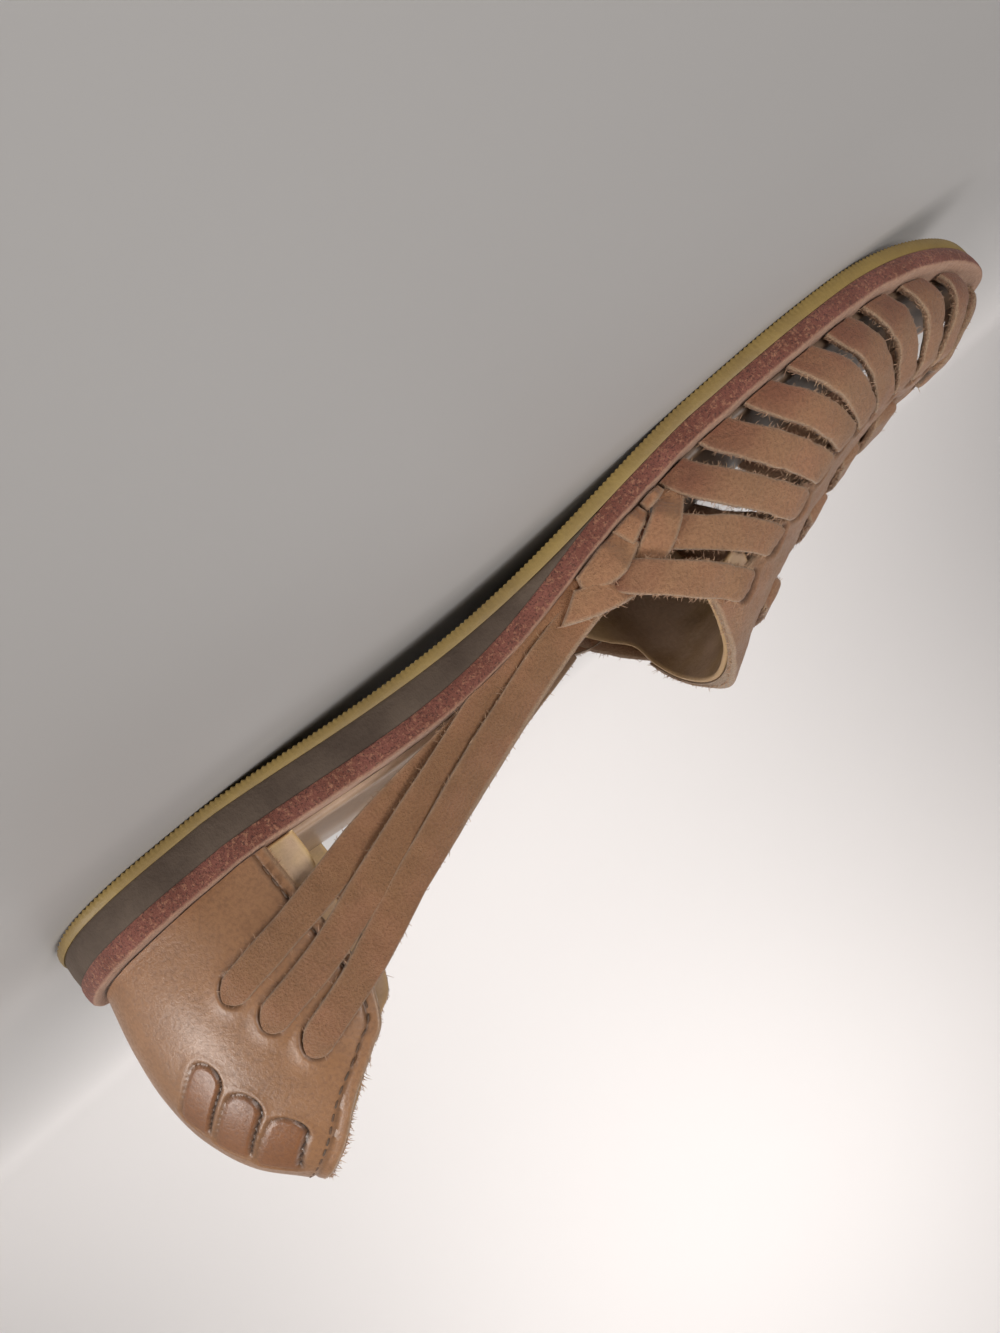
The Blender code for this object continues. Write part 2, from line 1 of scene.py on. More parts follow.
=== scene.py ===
"""Huarache sandal, right shoe: leather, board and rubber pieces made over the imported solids.

Lengths are metres. Points are worked out from the sole's back edge and the floor, and shifted to the
frame's origin when they become a mesh. Each surface is a function of two parameters.
"""

import math

import bmesh
import bpy
import numpy as np
from mathutils import Matrix


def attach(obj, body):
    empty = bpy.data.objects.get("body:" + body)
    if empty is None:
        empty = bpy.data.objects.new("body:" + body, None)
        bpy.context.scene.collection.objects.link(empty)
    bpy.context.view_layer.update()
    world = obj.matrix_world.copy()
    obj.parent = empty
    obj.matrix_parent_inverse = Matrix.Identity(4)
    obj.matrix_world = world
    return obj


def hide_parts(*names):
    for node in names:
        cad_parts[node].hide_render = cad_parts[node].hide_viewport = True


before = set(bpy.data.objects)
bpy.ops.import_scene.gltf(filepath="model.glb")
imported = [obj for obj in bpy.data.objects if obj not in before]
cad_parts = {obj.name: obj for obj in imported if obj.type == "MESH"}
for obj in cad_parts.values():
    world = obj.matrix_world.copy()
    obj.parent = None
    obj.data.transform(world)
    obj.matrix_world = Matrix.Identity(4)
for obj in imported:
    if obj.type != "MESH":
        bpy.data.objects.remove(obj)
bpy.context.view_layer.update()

bl_info = {
    "name": "Huarache sandal",
    "version": (1, 0, 0),
    "blender": (4, 5, 0),
    "location": "3D View > Sidebar > Sandal",
    "description": "Builds the visible pieces of a woven leather sandal around its packed solids",
    "category": "Mesh",
}

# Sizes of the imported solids
SOLE_LENGTH = 0.258
BALL_WIDTH = 0.090
WAIST_WIDTH = 0.064
HEEL_WIDTH = 0.063
OUTSOLE_HEEL = 0.0024
OUTSOLE_BALL = 0.0032
WEDGE_LIFT = 0.0058
MIDSOLE_THICKNESS = 0.0040
INSOLE_THICKNESS = 0.0012
ARCH_RISE = 0.0043
TOE_SPRING = 0.0110
HEEL_BEVEL = 0.0014
RIM = 0.0032
CLEARANCE = 0.0003
LEATHER = 0.0019
OFF_BOARD = 0.00005
RAW_EDGE = 0.0010
SEAM_INSET = 0.0027
STRIP_TIP = 0.0034
CROSSING_TIP = 0.0022
TOE_PIECE_TIP = 0.004
SLIT_GAP = 0.0002
SLIT_WIDTH = 0.00080
SLIT_DEPTH = 0.0016
SLIT_SWELL = 0.00035
STITCH_GAP = 0.0007
THREAD_RADIUS = 0.00020
FIBRE_RADIUS = 0.000090
STEP = 0.0013
VAMP_REAR = 0.388 * SOLE_LENGTH
INSTEP_HEIGHT = 0.0485
TOE_PIECE_WIDTH = 0.012
TAB_WIDTH = 0.006392
TAB_SLANT = 0.020
COUNTER_LENGTH = 0.049
COUNTER_HEIGHT = 0.0695
COUNTER_BULGE = 0.0030
COUNTER_LEAN = 0.0125
STRAP_WIDTH = 0.0074
SHOULDER = 0.80
CUP_POWER = 2.4
TOE_POWER = 2.4
HEEL_POWER = 2.2
ARCH_POWER = 1.3
TAPER_POWER = 1.6
CUP_SWELL = 0.10
CUP_CLOSING = 0.20
ORIGIN_SHARE = 0.110
HEEL_FLAT = (0.055, 0.165)
BALL_FLAT = (0.640, 0.800)
HEEL_ROUND = 0.125
TOE_ROUND = 0.700
WEDGE_TAPER = (0.270, 0.560)

# Share of the length, width there, share of the ball width that its centre lies off the axis
OUTLINE = (
    (0.00, HEEL_WIDTH, 0.000),
    (0.15, HEEL_WIDTH, 0.000),
    (0.42, WAIST_WIDTH, -0.022),
    (0.62, BALL_WIDTH * 0.955, -0.050),
    (0.72, BALL_WIDTH, -0.033),
    (0.85, BALL_WIDTH * 0.930, -0.006),
    (1.00, BALL_WIDTH * 0.780, 0.055),
)

# Ridge of the vamp: share of the sole's length, share of the instep's height
RIDGE = (
    (0.380, 1.100),
    (0.480, 1.075),
    (0.578, 1.000),
    (0.628, 0.880),
    (0.690, 0.750),
    (0.756, 0.628),
    (0.810, 0.560),
    (0.872, 0.535),
    (0.910, 0.515),
)

# Share of the feather line, share of the vamp's length where the ridge end of that section lies
FAN = (
    (0.00, 0.000),
    (0.20, 0.220),
    (0.40, 0.440),
    (0.60, 0.645),
    (0.75, 0.750),
    (0.90, 0.812),
    (1.00, 0.835),
)

# Strips from the throat to the toe: share of the feather line at the foot and at the slit, how far
# down from the ridge the slit lies, how far down the strip reaches, how far its middle bows forward
STRIPS = (
    (0.204, 0.338, 0.500, 0.955, 0.0145),
    (0.264, 0.404, 0.485, 0.985, 0.0155),
    (0.345, 0.460, 0.470, 1.000, 0.0050),
    (0.415, 0.515, 0.460, 1.000, 0.0056),
    (0.485, 0.565, 0.450, 1.000, 0.0070),
    (0.555, 0.612, 0.420, 1.000, 0.0084),
    (0.622, 0.662, 0.380, 1.000, 0.0098),
    (0.695, 0.722, 0.350, 1.000, 0.0112),
    (0.775, 0.790, 0.325, 1.000, 0.0126),
    (0.865, 0.872, 0.300, 1.000, 0.0140),
)
LATERAL_NARROWING = 0.86
THROAT_PEAK = 0.0018
LATERAL_SHIFT = 0.050

# Edge of the vamp's centre panel: share of the feather line, how far down from the ridge
PANEL_EDGE = (
    (0.285, 0.700),
    (0.315, 0.620),
    (0.350, 0.560),
    (0.400, 0.545),
    (0.600, 0.510),
    (0.700, 0.440),
    (0.800, 0.405),
    (0.930, 0.350),
)

# Height of a strip's underside and top off the vamp's surface, by distance from its tip at the slit
STRIP_LIFT = (
    (0.0000, -0.0002, 0.0014),
    (0.0009, 0.0007, 0.0023),
    (0.0028, 0.0012, 0.0028),
    (0.0048, 0.0012, 0.0027),
    (0.0075, 0.0005, 0.0021),
    (0.0115, -0.0004, 0.0014),
    (0.0200, -0.0010, 0.0009),
    (0.0300, -0.0012, 0.0006),
)

# Section of a strip of leather: place across it, share of its thickness, how raw it is there
SECTION = (
    (-1.000, 0.18, 1.00),
    (-1.000, 0.45, 0.35),
    (-0.995, 0.72, 1.00),
    (-0.960, 0.88, 0.75),
    (-0.880, 0.95, 0.15),
    (-0.700, 0.98, 0.00),
    (-0.400, 1.01, 0.00),
    (0.000, 1.03, 0.00),
    (0.400, 1.01, 0.00),
    (0.700, 0.98, 0.00),
    (0.880, 0.95, 0.15),
    (0.960, 0.88, 0.75),
    (0.995, 0.72, 1.00),
    (1.000, 0.45, 0.35),
    (1.000, 0.18, 1.00),
    (0.940, 0.02, 0.60),
    (0.400, 0.00, 0.30),
    (-0.400, 0.00, 0.30),
    (-0.940, 0.02, 0.60),
)

# Raised crossings on the ridge: share of the feather line, half of their length across the ridge
CROSSINGS = (
    (0.395, 0.0130),
    (0.525, 0.0135),
    (0.625, 0.0125),
    (0.740, 0.0110),
)

# Pieces of the plain weave at the vamp's rear corners: the corner itself, the pieces over the second and
# the first strip, the low one and the knob. Each has four corners of (share, down): rear upper, front
# upper, front lower, rear lower; then how far its upper edge bows up; then the height of its top at the
# rear, in the middle and at the front
WEAVE = (
    ((0.119, 0.966), (0.244, 0.836), (0.218, 0.936), (0.160, 0.992), 0.016, 0.0028, 0.0031, -0.0004),
    ((0.256, 0.848), (0.346, 0.948), (0.322, 0.998), (0.238, 0.930), 0.010, 0.0000, 0.0029, -0.0002),
    ((0.166, 0.976), (0.258, 0.946), (0.246, 1.000), (0.172, 1.000), 0.036, 0.0030, 0.0036, 0.0016),
    ((0.249, 0.950), (0.290, 0.976), (0.286, 1.000), (0.241, 1.000), 0.000, 0.0022, 0.0026, 0.0010),
    ((0.288, 0.982), (0.322, 0.986), (0.320, 1.000), (0.290, 1.000), 0.004, 0.0012, 0.0026, 0.0010),
)

# Side straps from the lowest up: share of the sole's length and of the counter's height
STRAPS = (
    ((0.100, 0.432), (0.180, 0.390), (0.250, 0.345), (0.320, 0.314), (0.400, 0.288), (0.430, 0.282)),
    ((0.110, 0.554), (0.180, 0.508), (0.250, 0.427), (0.320, 0.350), (0.400, 0.264), (0.500, 0.196)),
    ((0.122, 0.676), (0.180, 0.616), (0.250, 0.519), (0.320, 0.432), (0.400, 0.338), (0.510, 0.238)),
)
LATERAL_REACH = 1.03

# Height of each strap's underside off the upper: at its tip, on the counter, along the waist, in front
STRAP_LIFTS = (
    (-0.0010, 0.0001, -0.0012, -0.0016),
    (-0.0010, 0.0001, 0.0005, -0.0008),
    (-0.0010, 0.0001, 0.0000, -0.0012),
)

# Back of the counter: share of its height, share of the bulge, share of the lean
COUNTER_BACK = (
    (0.00, 0.00, 0.00),
    (0.20, 0.75, 0.00),
    (0.42, 1.00, 0.00),
    (0.62, 0.80, 0.06),
    (0.80, 0.40, 0.33),
    (0.92, 0.10, 0.72),
    (1.00, 0.00, 1.00),
)

# Top edge of the counter: share of the way from its back to its front edge, share of its height
COLLAR = (
    (0.00, 1.000),
    (0.18, 0.990),
    (0.36, 0.968),
    (0.54, 0.922),
    (0.72, 0.845),
    (0.86, 0.785),
    (0.95, 0.730),
    (1.00, 0.640),
)

# Tabs on the counter: share of the way to the front edge and of the height, in front and at the back
TABS = (
    (0.462, 0.538, 0.225, 0.634),
    (0.492, 0.662, 0.245, 0.752),
    (0.518, 0.784, 0.265, 0.864),
)

# Side walls of the sole's layers: share of the layer's height, how far in from the outline
OUTSOLE_WALL = ((0.0, 0.00030), (0.18, 0.00008), (0.5, 0.0), (0.85, 0.00004), (1.0, 0.00020))
WEDGE_WALL = ((0.0, 0.00055), (0.12, 0.00035), (0.5, 0.00022), (0.88, 0.00030), (1.0, 0.00045))
BOARD_WALL = (
    (0.0, 0.00020), (0.1, 0.00004), (0.35, -0.00006), (0.65, 0.0), (0.86, 0.00016), (0.96, 0.00045),
    (1.0, 0.00090),
)
LINING_WALL = ((0.0, 0.0), (0.4, 0.0), (0.8, 0.00020), (1.0, 0.00060))


def smooth(value, rows, column):
    """Read a column of a table at a value: a cubic through its rows, level beyond them."""
    table = np.array(rows)
    places, heights = table[:, 0], table[:, column]
    slopes = np.gradient(heights, places)
    value = np.clip(value, places[0], places[-1])
    row = np.clip(np.searchsorted(places, value) - 1, 0, len(places) - 2)
    gap = places[row + 1] - places[row]
    share = (value - places[row]) / gap
    rise = heights[row + 1] - heights[row]
    bend = slopes[row] * gap - rise
    unbend = rise - slopes[row + 1] * gap
    return heights[row] + share * rise + share * (1 - share) * ((1 - share) * bend + share * unbend)


def ease(value, start, end):
    """Go smoothly from 0 at the start to 1 at the end."""
    share = np.clip((value - start) / (end - start), 0.0, 1.0)
    return share * share * (3.0 - 2.0 * share)


def unit(vectors):
    """Vectors scaled to length 1."""
    return vectors / np.maximum(np.linalg.norm(vectors, axis=-1)[..., None], 1e-12)


def ripples(points, wavelength, seed):
    """Smooth unevenness between about -1 and 1: a sum of sine waves in mixed directions."""
    draw = np.random.default_rng(seed)
    waves = 9
    directions = unit(draw.normal(size=(waves, 3)))
    lengths = wavelength * draw.uniform(0.7, 1.4, waves)
    phases = draw.uniform(0.0, 2.0 * math.pi, waves)
    steps = (directions * (2.0 * math.pi / lengths)[:, None]).T
    return np.sin(points @ steps + phases).sum(axis=-1) / math.sqrt(waves)


def distance_along(path):
    """Distance of each point of a path from its start."""
    return np.concatenate([[0.0], np.cumsum(np.linalg.norm(np.diff(path, axis=0), axis=1))])


def distance_to_path(points, path):
    """Distance from each point to the nearest stretch of a path, and the share of the way along it."""
    nearest = np.full(points.shape[:-1], 1e9)
    place = np.zeros(points.shape[:-1])
    count = len(path) - 1
    for number in range(count):
        start, step = path[number], path[number + 1] - path[number]
        share = np.clip(((points - start) @ step) / max(step @ step, 1e-18), 0.0, 1.0)
        away = np.linalg.norm(points - start - share[..., None] * step, axis=-1)
        closer = away < nearest
        nearest = np.where(closer, away, nearest)
        place = np.where(closer, (number + share) / count, place)
    return nearest, place


def centre_at(along):
    """How far the middle of the sole's outline lies off its axis, by distance from the back edge."""
    return smooth(along / SOLE_LENGTH, OUTLINE, 2) * BALL_WIDTH


def on_side(points, side):
    """Points of the medial side, in place with a side of 1, and mirrored across the axis with one of -1."""
    middle = centre_at(points[..., 0])
    return np.stack([points[..., 0], middle + side * (points[..., 1] - middle), points[..., 2]], axis=-1)


def outline_edges(inset, count):
    """Medial and lateral edge points of the sole's outline, moved in by an inset.

    The half-width is read from the table and closed at both ends by rounded ends.
    """
    share = (1.0 - np.cos(np.linspace(0.0, np.pi, count))) / 2.0
    heel = 1.0 - np.clip(1.0 - share / HEEL_ROUND, 0.0, 1.0) ** HEEL_POWER
    toe = 1.0 - np.clip((share - TOE_ROUND) / (1.0 - TOE_ROUND), 0.0, 1.0) ** TOE_POWER
    half = smooth(share, OUTLINE, 1) / 2.0 * np.sqrt(heel * toe)
    centre = smooth(share, OUTLINE, 2) * BALL_WIDTH
    along = share * SOLE_LENGTH
    medial = np.stack([along, centre + half], axis=1)
    lateral = np.stack([along, centre - half], axis=1)
    loop = np.concatenate([medial, lateral[-2:0:-1]])
    forward = unit(np.roll(loop, -1, axis=0) - np.roll(loop, 1, axis=0))
    loop = loop + inset * np.stack([forward[:, 1], -forward[:, 0]], axis=1)
    medial = loop[:count]
    lateral = np.concatenate([loop[:1], loop[:count - 2:-1]])
    return medial, lateral


def ground(along):
    """Height of the sole's bottom: flat under heel and ball, with the arch and toe spring between."""
    share = along / SOLE_LENGTH
    bevel = HEEL_BEVEL * np.clip(1.0 - share / HEEL_FLAT[0], 0.0, 1.0) ** 2
    arch = np.clip((share - HEEL_FLAT[1]) / (BALL_FLAT[0] - HEEL_FLAT[1]), 0.0, 1.0)
    spring = np.clip((share - BALL_FLAT[1]) / (1.0 - BALL_FLAT[1]), 0.0, 1.0)
    return bevel + ARCH_RISE * np.sin(np.pi * arch) ** ARCH_POWER + TOE_SPRING * spring ** 2


def outsole_top(along):
    """Height of the outsole's top."""
    share = ease(along / SOLE_LENGTH, HEEL_FLAT[1], BALL_FLAT[0])
    return ground(along) + OUTSOLE_HEEL + (OUTSOLE_BALL - OUTSOLE_HEEL) * share


def wedge_lift(along):
    """How far the wedge lifts the midsole: level under the heel, tapering to nothing before the ball."""
    start, end = WEDGE_TAPER
    share = np.clip((along / SOLE_LENGTH - start) / (end - start), 0.0, 1.0)
    return WEDGE_LIFT * (1.0 - ease(share ** TAPER_POWER, 0.0, 1.0))


def midsole_low(along):
    """Height of the midsole's bottom."""
    return outsole_top(along) + wedge_lift(along) + CLEARANCE


def footbed(along):
    """Height of the midsole's top, on which the upper and the insole stand."""
    return midsole_low(along) + MIDSOLE_THICKNESS


def feather_lines():
    """The vamp's medial and lateral foot lines from its rear to the toe, by share of their length."""
    lines = []
    for edge in outline_edges(RIM + LEATHER - STEP / 2, 400):
        edge = edge[edge[:, 0] >= VAMP_REAR]
        run = distance_along(edge)
        lines.append((run / run[-1], edge))
    return lines


FEATHER = feather_lines()


def vamp_point(share, down):
    """Point of the vamp's inner surface.

    The share runs along the feather line to the toe, and past 1 back along the other side. Down runs
    from 0 at the ridge to 1 at the medial foot and -1 at the lateral one, along a rounded section: the
    sine of down in plan, and a power of its cosine in height.
    """
    past = share > 1.0
    share = np.where(past, 2.0 - share, share)
    down = np.where(past, -down, down)
    feet = []
    for run, edge in FEATHER:
        feet.append(np.stack([np.interp(share, run, edge[:, column]) for column in (0, 1)], axis=-1))
    foot = np.where((down >= 0.0)[..., None], feet[0], feet[1])
    length = FEATHER[0][1][-1, 0] - VAMP_REAR
    along = VAMP_REAR + length * smooth(share, FAN, 1)
    ridge = np.stack([along, centre_at(along)], axis=-1)
    turn = np.abs(down) * np.pi / 2.0
    plan = ridge + (foot - ridge) * np.sin(turn)[..., None]
    base = footbed(foot[..., 0]) + 1.5 * CLEARANCE
    top = smooth(along / SOLE_LENGTH, RIDGE, 1) * INSTEP_HEIGHT - LEATHER
    height = base + (top - base) * np.abs(np.cos(turn)) ** SHOULDER
    return np.concatenate([plan, height[..., None]], axis=-1)


def cup_arc():
    """Angle of the counter's plan curve by share of its length from the back to the front edge."""
    angle = np.linspace(0.0, np.pi / 2.0, 300)
    power = 2.0 / CUP_POWER
    along = COUNTER_LENGTH * (1.0 - np.cos(angle) ** power)
    out = (HEEL_WIDTH / 2.0 - RIM) * np.sin(angle) ** power
    run = np.concatenate([[0.0], np.cumsum(np.hypot(np.diff(along), np.diff(out)))])
    return run / run[-1], angle, run[-1]


CUP_RUN, CUP_ANGLE, CUP_LENGTH = cup_arc()


def cup_back(height):
    """Where the counter's back lies at a height, ahead of the sole's back edge."""
    share = np.clip(height / COUNTER_HEIGHT, 0.0, 1.0)
    base = footbed(0.0) / COUNTER_HEIGHT
    up = (share - base) / (1.0 - base)
    return RIM - COUNTER_BULGE * smooth(up, COUNTER_BACK, 1) + COUNTER_LEAN * smooth(up, COUNTER_BACK, 2)


def cup_half(height):
    """Half-width of the counter at a height: it bulges a little and closes in towards the top."""
    up = np.clip(height / COUNTER_HEIGHT, 0.0, 1.0)
    return (HEEL_WIDTH / 2.0 - RIM) * (1.0 + CUP_SWELL * np.sin(np.pi * up) - CUP_CLOSING * up ** 2)


def cup_heights(around):
    """Height of the counter's foot and of its top edge."""
    angle = np.interp(np.abs(around), CUP_RUN, CUP_ANGLE)
    rough = COUNTER_LENGTH * (1.0 - np.cos(angle) ** (2.0 / CUP_POWER))
    return footbed(rough) + CLEARANCE, COUNTER_HEIGHT * smooth(np.abs(around), COLLAR, 1)


def cup_point(around, up):
    """Point of the counter's outer surface.

    Around runs from -1 at the lateral front edge through 0 at the back to 1 at the medial one, up from
    0 at the sole to 1 at the top edge. Each level is half of a rounded oblong.
    """
    angle = np.interp(np.abs(around), CUP_RUN, CUP_ANGLE)
    base, top = cup_heights(around)
    power = 2.0 / CUP_POWER
    height = base + (top - base) * up
    back = cup_back(height)
    along = COUNTER_LENGTH - (COUNTER_LENGTH - back) * np.cos(angle) ** power
    out = cup_half(height) * np.sin(angle) ** power * np.sign(around)
    return np.stack([along, centre_at(along) + out, height], axis=-1)


def side_point(along, height):
    """Point of the surface that the medial side straps lie on, from the counter's side to the vamp's."""
    back = cup_back(height)
    share = np.clip((COUNTER_LENGTH - along) / (COUNTER_LENGTH - back), 0.0, 1.0)
    cup = cup_half(height) * (1.0 - share ** CUP_POWER) ** (1.0 / CUP_POWER)
    edge = FEATHER[0][1]
    centre = centre_at(along)
    foot = np.interp(along, edge[:, 0], edge[:, 1]) - centre
    base = footbed(along) + CLEARANCE
    top = smooth(along / SOLE_LENGTH, RIDGE, 1) * INSTEP_HEIGHT - LEATHER
    rise = np.clip((height - base) / (top - base), 0.0, 0.98) ** (1.0 / SHOULDER)
    vamp = foot * np.sqrt(1.0 - rise ** 2)
    blend = ease(along, COUNTER_LENGTH, STRAPS[0][-1][0] * SOLE_LENGTH)
    return np.stack([along, centre + cup + (vamp - cup) * blend, height], axis=-1)


RANGES = {
    vamp_point: ((0.0, 2.0), (-1.0, 1.0)),
    cup_point: ((-1.0, 1.0), (0.0, 1.0)),
    side_point: ((0.0, 1.0), (0.0, 1.0)),
}


def normals(surface, first, second):
    """Unit normals of a surface of two parameters, from small differences kept inside its ranges."""
    ranges = RANGES[surface]
    step = 0.002 if surface is not side_point else 0.0004
    ahead = surface(np.clip(first + step, *ranges[0]), second)
    behind = surface(np.clip(first - step, *ranges[0]), second)
    right = surface(first, np.clip(second + step, *ranges[1]))
    left = surface(first, np.clip(second - step, *ranges[1]))
    turned = 1.0 if surface is vamp_point else -1.0
    return turned * unit(np.cross(ahead - behind, right - left))


def closed_grid(inner, outer):
    """Points and faces of the closed solid between two grids of points of one size."""
    rows, columns = inner.shape[:2]
    index = np.arange(rows * columns).reshape(rows, columns)
    quads = np.stack([index[:-1, :-1], index[1:, :-1], index[1:, 1:], index[:-1, 1:]], axis=-1)
    quads = quads.reshape(-1, 4)
    border = np.concatenate([index[0], index[1:, -1], index[-1, -2::-1], index[-2:0:-1, 0]])
    following = np.roll(border, -1)
    shift = rows * columns
    rim = np.stack([border, following, following + shift, border + shift], axis=-1)
    faces = np.concatenate([quads, quads[:, ::-1] + shift, rim])
    return np.concatenate([inner.reshape(-1, 3), outer.reshape(-1, 3)]), faces.tolist()


def closed_tube(rings):
    """Points and faces of a tube through rings of points, with a fan over each end."""
    stations, count = rings.shape[:2]
    index = np.arange(stations * count).reshape(stations, count)
    following = np.roll(index, -1, axis=1)
    quads = np.stack([index[:-1], following[:-1], following[1:], index[1:]], axis=-1).reshape(-1, 4)
    hub = stations * count
    first = np.stack([np.full(count, hub), following[0], index[0]], axis=-1)
    last = np.stack([np.full(count, hub + 1), index[-1], following[-1]], axis=-1)
    centres = np.stack([rings[0].mean(axis=0), rings[-1].mean(axis=0)])
    points = np.concatenate([rings.reshape(-1, 3), centres])
    return points, [*quads.tolist(), *first.tolist(), *last.tolist()]


def tube_part(rings, **tones):
    """A part made of a closed tube, with each named tone given for every ring point."""
    points, faces = closed_tube(rings)
    spread = {name: np.append(np.broadcast_to(tone, rings.shape[:2]).ravel(), [0.0, 0.0])
              for name, tone in tones.items()}
    return points, faces, spread


def grid_part(inner, outer, **tones):
    """A part between two grids, with each named tone given for the outer grid, and again inside."""
    points, faces = closed_grid(inner, outer)
    spread = {name: np.tile(np.broadcast_to(tone, inner.shape[:2]).ravel(), 2)
              for name, tone in tones.items()}
    return points, faces, spread


def make_piece(name, parts, material, nodes=()):
    """Join parts into one mesh, shift it to the frame's origin, and let it ride on the shoe.

    A part is its points, its faces, and tones: named numbers from 0 to 1 at its points, which its
    material reads as attributes.
    """
    start = 0
    all_faces = []
    for points, faces, _ in parts:
        all_faces += [[corner + start for corner in face] for face in faces]
        start += len(points)
    points = np.concatenate([part[0] for part in parts]) - np.array([ORIGIN_SHARE * SOLE_LENGTH, 0.0, 0.0])
    mesh = bpy.data.meshes.new(name)
    mesh.from_pydata(points.tolist(), [], all_faces)
    for tone in sorted({tone for part in parts for tone in part[2]}):
        values = [part[2].get(tone, np.zeros(len(part[0]))) for part in parts]
        layer = mesh.attributes.new(tone, 'FLOAT', 'POINT')
        layer.data.foreach_set("value", np.concatenate(values).astype(np.float32))
    shape = bmesh.new()
    shape.from_mesh(mesh)
    bmesh.ops.remove_doubles(shape, verts=shape.verts, dist=0.0000005)
    bmesh.ops.recalc_face_normals(shape, faces=shape.faces)
    shape.to_mesh(mesh)
    shape.free()
    mesh.shade_smooth()
    mesh.set_sharp_from_angle(angle=1.0)
    mesh.materials.append(material)
    piece = bpy.data.objects.new(name, mesh)
    bpy.context.scene.collection.objects.link(piece)
    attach(piece, "root")
    if nodes:
        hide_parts(*nodes)
    return piece


def add_node(tree, kind, inputs, **settings):
    """Add a node, set what it is, and set or link its inputs."""
    node = tree.nodes.new(kind)
    for name, value in settings.items():
        setattr(node, name, value)
    for key, value in inputs.items():
        if isinstance(value, bpy.types.NodeSocket):
            tree.links.new(value, node.inputs[key])
        else:
            node.inputs[key].default_value = value
    return node


def colour4(colour):
    """A colour with full opacity."""
    return (*tuple(colour)[:3], 1.0)


def start_material(name, roughness, sheen=0.0, coat=0.0, specular=0.5):
    """A new material, with its tree, its shader and the object coordinates."""
    material = bpy.data.materials.new(name)
    material.use_nodes = True
    tree = material.node_tree
    shader = tree.nodes["Principled BSDF"]
    shader.inputs["Roughness"].default_value = roughness
    shader.inputs["Sheen Weight"].default_value = sheen
    shader.inputs["Sheen Roughness"].default_value = 0.5
    shader.inputs["Coat Weight"].default_value = coat
    shader.inputs["Coat Roughness"].default_value = 0.35
    shader.inputs["Specular IOR Level"].default_value = specular
    place = tree.nodes.new("ShaderNodeTexCoord").outputs["Object"]
    return material, tree, shader, place


def noise(tree, place, size, detail=3.0, rough=0.55):
    """Noise whose features are about a size, in metres."""
    inputs = {"Vector": place, "Scale": 1.0 / size, "Detail": detail, "Roughness": rough}
    return add_node(tree, "ShaderNodeTexNoise", inputs).outputs["Fac"]


def ramp(tree, value, low, high, start=0.0, end=1.0):
    """Stretch a value from between two limits to between two others."""
    inputs = {"Value": value, "From Min": low, "From Max": high, "To Min": start, "To Max": end}
    return add_node(tree, "ShaderNodeMapRange", inputs).outputs["Result"]


def mix(tree, share, first, second, how='MIX'):
    """Mix two colours by a share."""
    node = tree.nodes.new("ShaderNodeMix")
    node.data_type = 'RGBA'
    node.blend_type = how
    for key, value in ((0, share), (6, first), (7, second)):
        if isinstance(value, bpy.types.NodeSocket):
            tree.links.new(value, node.inputs[key])
        else:
            node.inputs[key].default_value = value
    return node.outputs[2]


def maths(tree, operation, first, second):
    """One sum of two values."""
    return add_node(tree, "ShaderNodeMath", {0: first, 1: second}, operation=operation).outputs[0]


def tone(tree, name):
    """A tone of the mesh, from 0 to 1."""
    return add_node(tree, "ShaderNodeAttribute", {}, attribute_name=name).outputs["Fac"]


def bump(tree, height, depth, normal=None):
    """Bump of a depth, in metres, on top of another."""
    inputs = {"Height": height, "Strength": 1.0, "Distance": depth}
    if normal is not None:
        inputs["Normal"] = normal
    return add_node(tree, "ShaderNodeBump", inputs).outputs["Normal"]


